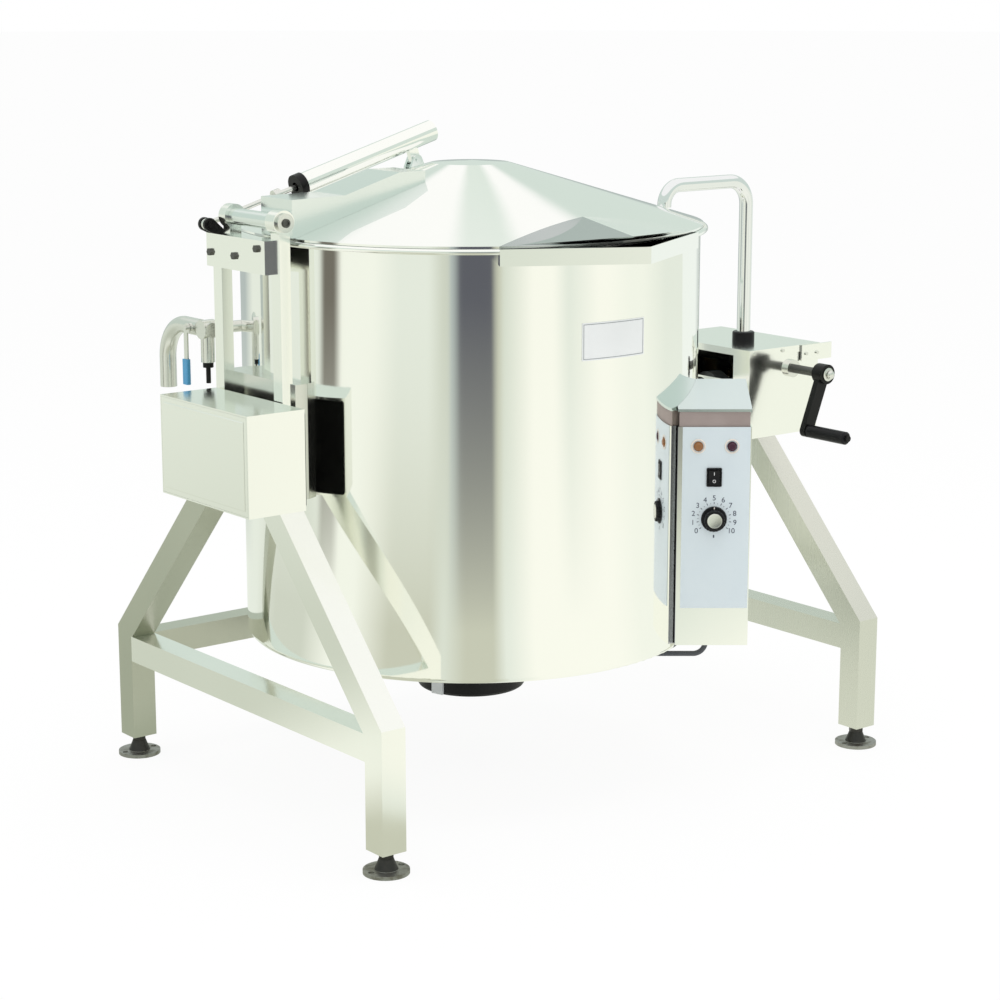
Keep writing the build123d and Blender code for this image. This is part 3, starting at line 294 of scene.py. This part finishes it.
# The floor is white paper. A polished wall mirrors the paper's own tones where it lies near, and the
# far walls' where it lies far off: the tone changes with one over the distance.
near_reach, far_reach = 1.786, 7.70
seen_white, mirror_share = 0.92, 0.96
around = np.linspace(0, 2 * math.pi, 128, endpoint=False)
floor_edge = np.stack([floor_radius * np.cos(around), floor_radius * np.sin(around), 0 * around], 1)
ground = made("floor", floor_edge, [list(range(128))], smooth=True)
ground_coat, tree, place = coat_tree("floor")
east, north, _ = tree.parts(place)
east, north = east - axis[0], north - axis[1]
reach = (east * east + north * north) ** 0.5
farness = (1.0 / near_reach - 1.0 / reach) / (1.0 / near_reach - 1.0 / far_reach)
far_tone, _ = all_round(tree, walls, east, north)
near_tone, _ = all_round(tree, paper_tones, east, north)
paper = tree.make("ShaderNodeBsdfDiffuse", inputs={"Color": (0.90, 0.90, 0.90, 1.0)})
white = tree.make("ShaderNodeEmission", inputs={"Color": (1.0, 1.0, 1.0, 1.0), "Strength": 1.0})
tone = tree.mix(farness.held(), near_tone, far_tone)
mirror_image = tree.make("ShaderNodeEmission", inputs={"Color": tone, "Strength": 1.0})
seen = tree.make("ShaderNodeLightPath", out="Is Camera Ray")
mirrored = tree.make("ShaderNodeLightPath", out="Is Glossy Ray")
lit = tree.blend(mirrored * mirror_share, tree.blend(seen * seen_white, paper, white), mirror_image)
tree.make("ShaderNodeOutputMaterial", inputs={"Surface": lit})
ground.data.materials.append(ground_coat)

# ---------------------------------------------------------------------------------------------- stand
# Two A-frames of 50 mm square stainless tube, satin ground along their length and joined at the back
# by a cross rail. They are welded, with the welds ground flush.


def steel(name, colour, shade, rough, grain, streak, depth):
    """Stainless steel. A noise drawn close by streak across the grain's axes gives the grinding marks,
    and a broad noise the slow change of tone from hand to hand, colour to shade, and of roughness."""
    coat, tree, place = coat_tree(name)
    drawn = tuple(streak if across else 1.0 for across in grain)
    marks = tree.noise(tree.make("ShaderNodeMapping", inputs={"Vector": place, "Scale": drawn}), 1.0, 3.0)
    cloud = tree.noise(place, 2.2, 2.0)
    tree.covered(
        Base_Color=tree.mix((cloud * 1.4 - 0.2).held(), colour, shade),
        Metallic=1.0,
        Roughness=(rough * 0.75 + marks * rough * 0.35 + cloud * rough * 0.2).held(),
        Normal=tree.relief(marks, depth),
    )
    return coat


def dress(coat, *names):
    """Puts a finish on the solids of those names."""
    for name in names:
        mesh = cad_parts[name].data
        mesh.materials.clear()
        mesh.materials.append(coat)


satin_tube = steel(
    "satin_tube", (0.985, 0.985, 0.945, 1), (0.90, 0.92, 0.87, 1), 0.17, (1, 1, 0), 260.0, 0.05
)
dress(satin_tube, "left_front_leg", "left_bottom_rail")
# The right front leg and rail get a darker copy of the same tube steel: painted shade.
shaded_tube = steel(
    "shaded_tube", (0.76, 0.76, 0.69, 1), (0.66, 0.67, 0.60, 1), 0.26, (1, 1, 0), 240.0, 0.06
)
dress(shaded_tube, "right_front_leg", "right_bottom_rail")
# The rear legs and cross rail get a much darker copy of the same tube steel: painted shade.
deep_shaded_tube = steel(
    "deep_shaded_tube", (0.60, 0.61, 0.52, 1), (0.50, 0.52, 0.44, 1), 0.32, (1, 1, 0), 200.0, 0.08
)
dress(deep_shaded_tube, "left_rear_leg", "right_rear_leg", "rear_cross_rail")

# ---------------------------------------------------------------------------------------------- feet
# Flanged levelling feet of dark steel, screwed up into the legs and bolted down through two holes.
# The flanges are worn and a little rusty, the stems above them are blackened.
flange_top = 0.0075
foot_coat, tree, place = coat_tree("foot_steel")
rust = tree.noise(place, 60.0, 4.0)
worn = tree.mix(rust.step(0.45, 0.7), (0.34, 0.34, 0.32, 1), (0.21, 0.20, 0.17, 1))
blacked = tree.mix(rust, (0.035, 0.035, 0.035, 1), (0.08, 0.075, 0.07, 1))
tree.covered(
    Base_Color=tree.mix(tree.parts(place)[2] > flange_top, worn, blacked),
    Metallic=0.9,
    Roughness=0.3 + rust * 0.25,
    Normal=tree.relief(rust, 0.15),
)
dress(foot_coat, "levelling_feet")

# ---------------------------------------------------------------------------------------------- housings
# Folded and polished stainless boxes over the trunnion bearings, screwed to the A-frames. The pillow
# blocks inside them are painted cast iron, and the crank's bushes are turned steel.
satin_sheet = steel(
    "satin_sheet", (0.985, 0.985, 0.945, 1), (0.94, 0.95, 0.90, 1), 0.14, (1, 1, 0), 220.0, 0.03
)
dress(satin_sheet, "left_housing", "left_housing_cover", "corner_plate")
dress(satin_sheet, "right_housing", "right_housing_cover")
bright_steel = steel(
    "bright_steel", (0.82, 0.82, 0.78, 1), (0.70, 0.71, 0.67, 1), 0.2, (0, 1, 1), 200.0, 0.03
)
dress(bright_steel, "housing_screws", "crank_bushes")


def plain_coat(name, colour, shade, rough, depth=0.05, metal=0.0, gleam=0.5):
    """A moulded or painted surface: a fine grain in relief, and a faint mottling from colour to shade."""
    coat, tree, place = coat_tree(name)
    mottle = tree.noise(place, 18.0, 2.0)
    tree.covered(
        Base_Color=tree.mix(mottle, colour, shade),
        Metallic=metal,
        Specular_IOR_Level=gleam,
        Roughness=(mottle * 0.15 + rough).held(),
        Normal=tree.relief(tree.noise(place, 300.0, 2.0), depth),
    )
    return coat


cast_iron = plain_coat("cast_iron", (0.10, 0.11, 0.11, 1), (0.14, 0.15, 0.15, 1), 0.45, metal=0.3)
dress(cast_iron, "trunnion_bearings")

# ---------------------------------------------------------------------------------------------- painted shade pad
# A black pad on the left housing's inner wall beside the kettle: painted shade in the gap.
shade_pad_thick, shade_pad_corner = 0.003, 0.006
shade_pad_low = np.array([axis[0] - 0.479, axis[1] - 0.143, 0.592])
shade_pad_high = np.array([shade_pad_low[0] + shade_pad_thick, axis[1] - 0.044, 0.764])


def rounded_pad(name, low, high, corner, steps=9):
    """A flat pad between two corners, its outline in the YZ plane a rectangle with round corners: the
    outline's points are the inner rectangle's corners plus corner * (cos, sin) round each of them."""
    turn = np.linspace(0, math.pi / 2, steps) + np.arange(4)[:, None] * math.pi / 2
    inner = np.array([[high[1], high[2]], [low[1], high[2]], [low[1], low[2]], [high[1], low[2]]])
    inner = inner - corner * np.array([[1, 1], [-1, 1], [-1, -1], [1, -1]])
    outline = (inner[:, None, :] + corner * np.stack([np.cos(turn), np.sin(turn)], 2)).reshape(-1, 2)
    count = len(outline)
    near = np.column_stack([np.full(count, high[0]), outline])
    far = np.column_stack([np.full(count, low[0]), outline])
    here = np.arange(count)
    there = (here + 1) % count
    sides = np.stack([here, here + count, there + count, there], 1)
    ends = [here.tolist(), (here[::-1] + count).tolist()]
    return made(name, np.concatenate([near, far]), sides.tolist() + ends)


# The pad is black all over: painted shade for the unlit gap that the shell mirrors.
shade_black_coat = plain_coat("shade_black_coat", (0.002, 0.002, 0.002, 1), (0.004, 0.004, 0.004, 1), 0.6, gleam=0.1)
painted_shade_pad = rounded_pad("painted_shade_pad", shade_pad_low, shade_pad_high, shade_pad_corner)
painted_shade_pad.data.materials.append(shade_black_coat)
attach(painted_shade_pad, "stand")

# ---------------------------------------------------------------------------------------------- kettle body
# The outer shell, its rim and the vessel inside are rolled from stainless sheet, welded and polished.
# A black plastic cover, held by a grey clip, closes the heating elements' connections.
polished_sheet = steel(
    "polished_sheet", (0.985, 0.985, 0.96, 1), (0.965, 0.97, 0.935, 1), 0.055, (1, 1, 0), 180.0, 0.006
)
dress(polished_sheet, "outer_shell", "rim_ring", "pouring_lip", "right_trunnion")
dress(bright_steel, "inner_vessel", "vessel_bottom", "steam_jacket", "heating_elements", "left_trunnion")
black_plastic = plain_coat(
    "black_plastic", (0.006, 0.006, 0.007, 1), (0.012, 0.012, 0.014, 1), 0.3, gleam=0.2
)
dress(black_plastic, "heater_cover")
grey_plastic = plain_coat("grey_plastic", (0.62, 0.65, 0.68, 1), (0.7, 0.72, 0.74, 1), 0.4)
dress(grey_plastic, "cover_clip")

# ---------------------------------------------------------------------------------------------- plate
# A bare plate, rolled to the shell's curve and held to its front, is lacquered pale and has a raised
# border line in grey ink.
plate_out = 0.4362
plate_turns = np.radians([-100.8, -82.3])
plate_z = (0.850, 0.917)
border_edge, border_line, border_sunk, border_thick = 0.0022, 0.0012, 0.0001, 0.0004
plate_lacquer = plain_coat("plate_lacquer", (0.90, 0.92, 0.91, 1), (0.84, 0.87, 0.86, 1), 0.3, depth=0.01)
dress(plate_lacquer, "name_plate")


def shell_bar(turns, heights, out, thick, cuts=24):
    """A raised bar that follows the shell: its corners run round the axis from one turn to the other,
    at out and out + thick from it, so the point at (turn, radius, height) is cylindrical."""
    turn = np.linspace(turns[0], turns[1], cuts)[:, None]
    radius = np.array([out, out + thick, out + thick, out])
    height = np.array([heights[0], heights[0], heights[1], heights[1]])
    level = np.broadcast_to(height, (cuts, 4))
    points = np.stack([axis[0] + radius * np.cos(turn), axis[1] + radius * np.sin(turn), level], 2)
    step, corner = np.meshgrid(np.arange(cuts - 1), np.arange(4), indexing="ij")
    here, beside = step * 4 + corner, step * 4 + (corner + 1) % 4
    faces = np.stack([here, here + 4, beside + 4, beside], 2)
    ends = np.array([[0, 1, 2, 3], [4 * cuts - 1, 4 * cuts - 2, 4 * cuts - 3, 4 * cuts - 4]])
    return points.reshape(-1, 3), faces.reshape(-1, 4), ends


def joined(name, pieces):
    """One mesh of several sets of points and arrays of faces."""
    points, faces, before = [], [], 0
    for places, *groups in pieces:
        points.append(places)
        for group in groups:
            faces.extend((np.asarray(group) + before).tolist())
        before += len(places)
    return made(name, np.concatenate(points), faces)


left, right = plate_turns + np.array([border_edge, -border_edge]) / plate_out
low, high = plate_z[0] + border_edge, plate_z[1] - border_edge
across = border_line / plate_out
inner = (low + border_line, high - border_line)
plate_border = joined(
    "plate_border",
    [
        shell_bar(turns, heights, plate_out - border_sunk, border_thick, cuts)
        for turns, heights, cuts in (
            ((left, right), (low, inner[0]), 24),
            ((left, right), (inner[1], high), 24),
            ((left, left + across), inner, 2),
            ((right - across, right), inner, 2),
        )
    ],
)
grey_ink = plain_coat("grey_ink", (0.30, 0.33, 0.34, 1), (0.36, 0.39, 0.40, 1), 0.4)
plate_border.data.materials.append(grey_ink)
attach(plate_border, "kettle")

# ---------------------------------------------------------------------------------------------- tilt gear
# A bronze worm wheel on the right trunnion and a blackened worm on the crank's shaft, in mesh. The
# crank is cast and painted black, its grip is plastic, and a plated domed nut holds it on the shaft.
bronze = plain_coat("bronze", (0.55, 0.36, 0.14, 1), (0.45, 0.29, 0.11, 1), 0.25, metal=1.0)
dress(bronze, "worm_wheel")
black_steel = plain_coat("black_steel", (0.09, 0.09, 0.085, 1), (0.14, 0.14, 0.13, 1), 0.35, metal=0.8)
dress(black_steel, "worm_shaft")
black_paint = plain_coat("black_paint", (0.005, 0.005, 0.005, 1), (0.011, 0.011, 0.011, 1), 0.25, gleam=0.2)
dress(black_paint, "crank")
dress(black_plastic, "crank_grip")
crank_boss = np.array([axis[0] + 0.717, axis[1] - 0.2512, 0.723])
dome_radius, dome_high, dome_foot = 0.009, 0.006, 0.008


def spun(name, profile, centre, along, across, turns=96, flutes=0, flute_depth=0.0):
    """A turned piece: the profile's point (r, h) goes to centre + h * along + r * (cos t * across +
    sin t * up). Flutes take flute_depth * |sin(flutes * t / 2)| off the radii past the first and last
    pair of points. Both ends of the profile lie on the axis and close with a fan."""
    along, across = np.array(along, float), np.array(across, float)
    up = np.cross(along, across)
    profile = np.array(profile, float)
    count = len(profile) - 2
    t = np.linspace(0, 2 * math.pi, turns, endpoint=False)
    around = np.cos(t)[:, None] * across + np.sin(t)[:, None] * up
    cut = np.abs(np.sin(flutes * t / 2))[None, :] * flute_depth * (np.arange(count) > 1)[:, None]
    radius = profile[1:-1, 0][:, None] - cut
    rings = radius[:, :, None] * around + (profile[1:-1, 1][:, None] * along)[:, None, :]
    tips = [along * profile[0, 1], along * profile[-1, 1]]
    points = np.concatenate([rings.reshape(-1, 3), tips]) + centre
    row, column = np.meshgrid(np.arange(count - 1), np.arange(turns), indexing="ij")
    here, beside = row * turns + column, row * turns + (column + 1) % turns
    walls = np.stack([here, beside, beside + turns, here + turns], 2)
    rim = np.arange(turns)
    after, top = (rim + 1) % turns, (count - 1) * turns
    first = np.stack([np.full(turns, count * turns), after, rim], 1)
    last = np.stack([np.full(turns, count * turns + 1), top + rim, top + after], 1)
    thing = joined(name, [(points, walls.reshape(-1, 4), first, last)])
    thing.data.shade_smooth()
    thing.data.set_sharp_from_angle(angle=math.radians(35))
    return thing


dome_turn = np.linspace(0, math.pi / 2, 10)[:-1]
nut_profile = [(0, 0), (0.0125, 0), (0.0135, 0.0012), (0.0135, 0.002), (0.0098, 0.003), (0.0098, dome_foot)]
nut_profile += [(dome_radius * math.cos(v), dome_foot + dome_high * math.sin(v)) for v in dome_turn]
nut_profile += [(0, dome_foot + dome_high)]
crank_nut = spun("crank_nut", nut_profile, crank_boss, (0, -1, 0), (1, 0, 0))
crank_nut.data.materials.append(bright_steel)
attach(crank_nut, "crank")

# ---------------------------------------------------------------------------------------------- hinge
# Two folded posts on the shell's side carry the hinge head. Its pin has a pale turned head with a
# blackened socket screw in the middle, and the head's bolts are blackened too.
dress(satin_sheet, "front_post", "hinge_head")
dress(bright_steel, "hinge_pin")
dress(black_steel, "hinge_bolts")
pin_low, pin_high = (np.array(corner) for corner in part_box("hinge_pin"))
pin_middle = (pin_low + pin_high) / 2
screw_seat = 0.00005
pin_face = np.array([pin_middle[0], pin_low[1] - screw_seat, pin_middle[2]])
screw_profile = [(0, 0), (0.0072, 0), (0.0078, 0.0006), (0.0078, 0.0026), (0.0070, 0.0034)]
screw_profile += [(0.0042, 0.0034), (0.0040, 0.0012), (0, 0.0012)]
pin_screw = spun("pin_screw", screw_profile, pin_face, (0, -1, 0), (1, 0, 0), turns=48)
pin_screw.data.materials.append(black_steel)
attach(pin_screw, "kettle")

# ---------------------------------------------------------------------------------------------- faucet
# A chromed swivel spout of bent tube turns in a black plastic base on top of the gear housing.
chrome = steel("chrome", (0.90, 0.91, 0.92, 1), (0.86, 0.87, 0.88, 1), 0.07, (1, 1, 1), 90.0, 0.01)
dress(chrome, "faucet_spout")
dress(black_plastic, "faucet_base")

# ---------------------------------------------------------------------------------------------- lid
# A spun cone with a folded beak, a formed arm on the hinge barrel, and the spring tube and its rod.
# The beak's two welded facets are only ground, not polished, and the left one is coloured darker, a
# painted dark reflection. They lie outside the lines from the beak's root to its two feet on the lid's edge.
beak_root, facet_lean = 0.330, 0.2114
lid_coat, tree, place = coat_tree("lid_sheet")
east, north, _ = tree.parts(place)
east, north = east - axis[0], north - axis[1]
facet = north < abs(east) * -facet_lean - beak_root
painted_dark_facet = facet * (east < 0.0)
spin = tree.noise(place, 3.0, 2.0)
bare = tree.mix(spin, (0.985, 0.985, 0.965, 1), (0.955, 0.965, 0.94, 1))
tree.covered(
    # The left facet's darker colour is a painted dark reflection.
    Base_Color=tree.mix(painted_dark_facet, bare, (0.50, 0.53, 0.53, 1)),
    Metallic=1.0,
    Roughness=0.05 + spin * 0.02 + facet * 0.12,
)
dress(lid_coat, "lid")
arm_sheet = steel("arm_sheet", (0.86, 0.90, 0.88, 1), (0.78, 0.84, 0.82, 1), 0.16, (1, 1, 1), 120.0, 0.01)
dress(arm_sheet, "lid_arm", "lid_bracket")
dress(polished_sheet, "spring_tube")
dress(bright_steel, "spring_rod")
dress(black_paint, "spring_anchor", "spring_collar")

# ---------------------------------------------------------------------------------------------- console
# A narrow sheet box on the kettle's front, with a printed film, two lamps, a switch and a dial. The
# box is polished; its left side, which faces the shell, is a darker blue-grey: painted shade.
console_turn = math.radians(-38.2)
rightward = np.array([math.cos(console_turn), math.sin(console_turn), 0.0])
outward = np.array([math.sin(console_turn), -math.cos(console_turn), 0.0])
upward = np.array([0.0, 0.0, 1.0])
panel_out, film_thick = 0.220, 0.001
film_face = panel_out + film_thick
console_left, side_sheet = 0.383, 0.0008


def on_panel(along, height, out):
    """The place that lies along to the right of the kettle's axis on the panel, at a height, and out
    from the axis, with whole arrays for any of the three."""
    along, height, out = np.broadcast_arrays(along, height, out)
    flat = np.array([axis[0], axis[1], 0.0])
    return flat + along[..., None] * rightward + out[..., None] * outward + height[..., None] * upward


panel_film = plain_coat("panel_film", (0.67, 0.76, 0.80, 1), (0.72, 0.80, 0.83, 1), 0.25, depth=0.01)
dress(panel_film, "control_panel")
side_coat, tree, place = coat_tree("console_sheet")
east, north, _ = tree.parts(place)
along = (east - axis[0]) * float(rightward[0]) + (north - axis[1]) * float(rightward[1])
cloud = tree.noise(place, 9.0, 2.0)
front_tone = tree.mix(cloud, (0.97, 0.975, 0.93, 1), (0.94, 0.955, 0.91, 1))
# The left side's darker blue-grey is painted shade.
side_painted_shade = tree.mix(cloud, (0.50, 0.51, 0.57, 1), (0.58, 0.58, 0.63, 1))
tree.covered(
    Base_Color=tree.mix(along < console_left + side_sheet, front_tone, side_painted_shade),
    Metallic=1.0,
    Roughness=0.10 + cloud * 0.06,
)
dress(side_coat, "console_box")
hood_sheet = steel("hood_sheet", (0.72, 0.80, 0.80, 1), (0.66, 0.75, 0.76, 1), 0.2, (1, 1, 1), 120.0, 0.01)
dress(hood_sheet, "console_hood")
# The strip under the hood's front edge is a dark grey-brown: painted shade under the hood's overhang.
strip_painted_shade = plain_coat("strip_painted_shade", (0.30, 0.24, 0.22, 1), (0.42, 0.35, 0.33, 1), 0.4)
dress(strip_painted_shade, "vent_strip")
cable_sheath = plain_coat("cable_sheath", (0.05, 0.055, 0.07, 1), (0.08, 0.085, 0.1, 1), 0.35)
dress(cable_sheath, "console_conduit")

# ---------------------------------------------------------------------------------------------- signal lamps
# An amber and a red lamp with clear plastic lenses, each set in a pale moulded ring on the film.
amber_lens = plain_coat("amber_lens", (0.28, 0.12, 0.045, 1), (0.34, 0.16, 0.06, 1), 0.12, depth=0.0)
red_lens = plain_coat("red_lens", (0.045, 0.008, 0.025, 1), (0.07, 0.014, 0.035, 1), 0.12, depth=0.0)
dress(amber_lens, "amber_lamp")
dress(red_lens, "red_lamp")
lamp_z, ring_radius, ring_wide, ring_out, ring_high = 0.666, 0.0122, 0.0016, 0.0008, 0.0010
ring_white = plain_coat("ring_white", (0.86, 0.80, 0.72, 1), (0.82, 0.76, 0.69, 1), 0.35)


def closed_grid(rows, columns):
    """The faces of a grid of points that closes both ways, each from a point round to the next ones."""
    row, column = np.meshgrid(np.arange(rows), np.arange(columns), indexing="ij")
    beside = (column + 1) % columns
    here, after = row * columns, (row + 1) % rows * columns
    return np.stack([here + column, here + beside, after + beside, after + column], 2).reshape(-1, 4)


for name, along in (("amber_ring", console_left + 0.038), ("red_ring", console_left + 0.100)):
    around = np.linspace(0, 2 * math.pi, 64, endpoint=False)[:, None]
    section = np.linspace(0, 2 * math.pi, 16, endpoint=False)[None, :]
    reach = ring_radius + ring_wide * np.cos(section)
    out = film_face + ring_out + ring_high * np.sin(section)
    points = on_panel(along + reach * np.cos(around), lamp_z + reach * np.sin(around), out)
    lamp_ring = made(name, points.reshape(-1, 3), closed_grid(64, 16)[:, ::-1].tolist(), smooth=True)
    lamp_ring.data.materials.append(ring_white)
    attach(lamp_ring, "kettle")

# ---------------------------------------------------------------------------------------------- dial
# A fluted black plastic knob with a pale metal disc and pointer, pushed on its spindle, over a ring of
# marks and numbers that are printed on the film.
knob_along, knob_z, knob_seat, disc_out = console_left + 0.069, 0.529, 0.00002, 0.0169
knob_centre = on_panel(knob_along, knob_z, film_face + knob_seat)
skirt_profile = [(0, 0.0001), (0.0238, 0.0001), (0.0240, 0.0010), (0.0240, 0.0040), (0.0232, 0.0050)]
grip_profile = [(0.0200, 0.0052), (0.0194, 0.0140), (0.0188, 0.0172), (0.0176, 0.0180), (0.0146, 0.0180)]
knob_profile = skirt_profile + grip_profile + [(0.0140, 0.0170), (0, 0.0170)]
knob = spun("knob", knob_profile, knob_centre, outward, rightward, turns=240, flutes=24, flute_depth=0.0009)
knob.data.materials.append(black_plastic)
disc_profile = [(0, 0), (0.0130, 0), (0.0136, 0.0004), (0.0136, 0.0012), (0.0130, 0.0016)]
disc_profile += [(0.0110, 0.0013), (0, 0.0013)]
knob_disc = spun("knob_disc", disc_profile, knob_centre + disc_out * outward, outward, rightward)
knob_disc.data.materials.append(bright_steel)


def slab(along, height, low, high):
    """A thin slab on the panel: its four corners, in order round it, from low to high out."""
    points = np.concatenate([on_panel(along, height, low), on_panel(along, height, high)])
    return points, [[3, 2, 1, 0], [4, 5, 6, 7], [0, 1, 5, 4], [1, 2, 6, 5], [2, 3, 7, 6], [3, 0, 4, 7]]


def oblong(wide, low, high):
    """The four corners of an upright oblong, as their places along and their heights."""
    return np.array([-wide, wide, wide, -wide]) / 2, np.array([low, low, high, high])


x, z = oblong(0.0018, 0.0145, 0.0232)
pointer = joined("knob_pointer", [slab(knob_along + x, knob_z + z, film_face + 0.0040, film_face + 0.0056)])
pointer.data.materials.append(ring_white)
for piece in (knob, knob_disc, pointer):
    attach(piece, "thermostat_knob")
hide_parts("thermostat_knob")

panel_ink = plain_coat("panel_ink", (0.035, 0.045, 0.08, 1), (0.05, 0.06, 0.10, 1), 0.4, depth=0.01)
ink_low, ink_high = film_face - 0.0001, film_face + 0.0002
mark_near, long_mark, short_mark, wide_half, narrow_half = 0.0285, 0.0325, 0.0305, 0.0006, 0.00035


def dial_mark(angle, near, far, half):
    """A radial mark on the dial: from near to far of the knob's middle, half to each side of its line."""
    radial = np.array([math.cos(angle), math.sin(angle)])
    side = half * np.array([-radial[1], radial[0]])
    x, z = np.array([near * radial - side, far * radial - side, far * radial + side, near * radial + side]).T
    return slab(knob_along + x, knob_z + z, ink_low, ink_high)


dial_angles = np.radians(np.linspace(215, -35, 11))
half_angles = (dial_angles[:-1] + dial_angles[1:]) / 2
marks = [dial_mark(angle, mark_near, long_mark, wide_half) for angle in dial_angles]
marks += [dial_mark(angle, mark_near, short_mark, narrow_half) for angle in half_angles]
marks.append(dial_mark(math.radians(-90), 0.030, 0.0355, 0.0012))
dial_marks = joined("dial_marks", marks)
dial_marks.data.materials.append(panel_ink)
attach(dial_marks, "kettle")

figure_ring, figure_size, figure_half, figure_out = 0.0395, 0.0138, 0.00015, 0.00012


def figure_surface(words):
    """The points of a word's mesh, flat and centred on the origin, and each face as a row of its own."""
    curve = bpy.data.curves.new("figure", "FONT")
    curve.body = words
    curve.size = figure_size
    curve.extrude = figure_half
    curve.align_x, curve.align_y = "CENTER", "CENTER"
    holder = bpy.data.objects.new("figure", curve)
    bpy.context.scene.collection.objects.link(holder)
    bpy.context.view_layer.update()
    shape = bpy.data.meshes.new_from_object(holder.evaluated_get(bpy.context.evaluated_depsgraph_get()))
    points = np.empty(len(shape.vertices) * 3)
    shape.vertices.foreach_get("co", points)
    corners = np.empty(len(shape.loops), int)
    shape.loops.foreach_get("vertex_index", corners)
    starts = np.cumsum([polygon.loop_total for polygon in shape.polygons])[:-1]
    bpy.data.objects.remove(holder)
    bpy.data.curves.remove(curve)
    bpy.data.meshes.remove(shape)
    return points.reshape(-1, 3), [face[None, :] for face in np.split(corners, starts)]


# The numbers 0 to 10 stand upright round the marks.
figures = []
for count, angle in enumerate(dial_angles):
    flat, faces = figure_surface(str(count))
    x = knob_along + figure_ring * math.cos(angle) + flat[:, 0]
    z = knob_z + figure_ring * math.sin(angle) + flat[:, 1]
    figures.append((on_panel(x, z, film_face + figure_out + flat[:, 2]), *faces))
dial_figures = joined("dial_figures", figures)
dial_figures.data.materials.append(panel_ink)
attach(dial_figures, "kettle")

# ---------------------------------------------------------------------------------------------- switch
# A black plastic rocker in a bezel that snaps into the panel. Moulded white marks lie on the rocker:
# a bar on its upper half and a ring on its lower half.
dress(black_plastic, "switch_bezel", "power_switch")
rocker_along, rocker_z = console_left + 0.068, 0.608
rocker_middle, rocker_slope = panel_out + 0.0045, 0.002 / 0.0135
mark_half = 0.0002
white_ink = plain_coat("white_ink", (0.80, 0.80, 0.80, 1), (0.72, 0.72, 0.72, 1), 0.4, depth=0.01)


def rocker_out(height):
    """How far out the rocker's face lies at a height from its middle: lowest in the middle."""
    return rocker_middle + np.abs(height) * rocker_slope


x, z = oblong(0.0012, 0.004, 0.010)
bar = slab(rocker_along + x, rocker_z + z, rocker_out(z) - mark_half, rocker_out(z) + mark_half)
around = np.linspace(0, 2 * math.pi, 32, endpoint=False)
reach = np.array([0.0020, 0.0030, 0.0030, 0.0020])[:, None]
lift = np.array([-1, -1, 1, 1])[:, None] * mark_half
z = reach * np.sin(around) - 0.007
ring_points = on_panel(rocker_along + reach * np.cos(around), rocker_z + z, rocker_out(z) + lift)
rocker_marks = joined("rocker_marks", [bar, (ring_points.reshape(-1, 3), closed_grid(4, 32))])
rocker_marks.data.materials.append(white_ink)
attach(rocker_marks, "power_switch")

# ---------------------------------------------------------------------------------------------- steam
# The vent valve, its lever in a blue vinyl sleeve and its outlet elbow, on a nipple from the jacket,
# and a relief outlet that is painted black.
dress(bright_steel, "vent_valve", "vent_elbow", "vent_lever")
dress(black_paint, "relief_outlet")
blue_vinyl = plain_coat("blue_vinyl", (0.06, 0.30, 0.55, 1), (0.10, 0.38, 0.62, 1), 0.4)
dress(blue_vinyl, "lever_sleeve")
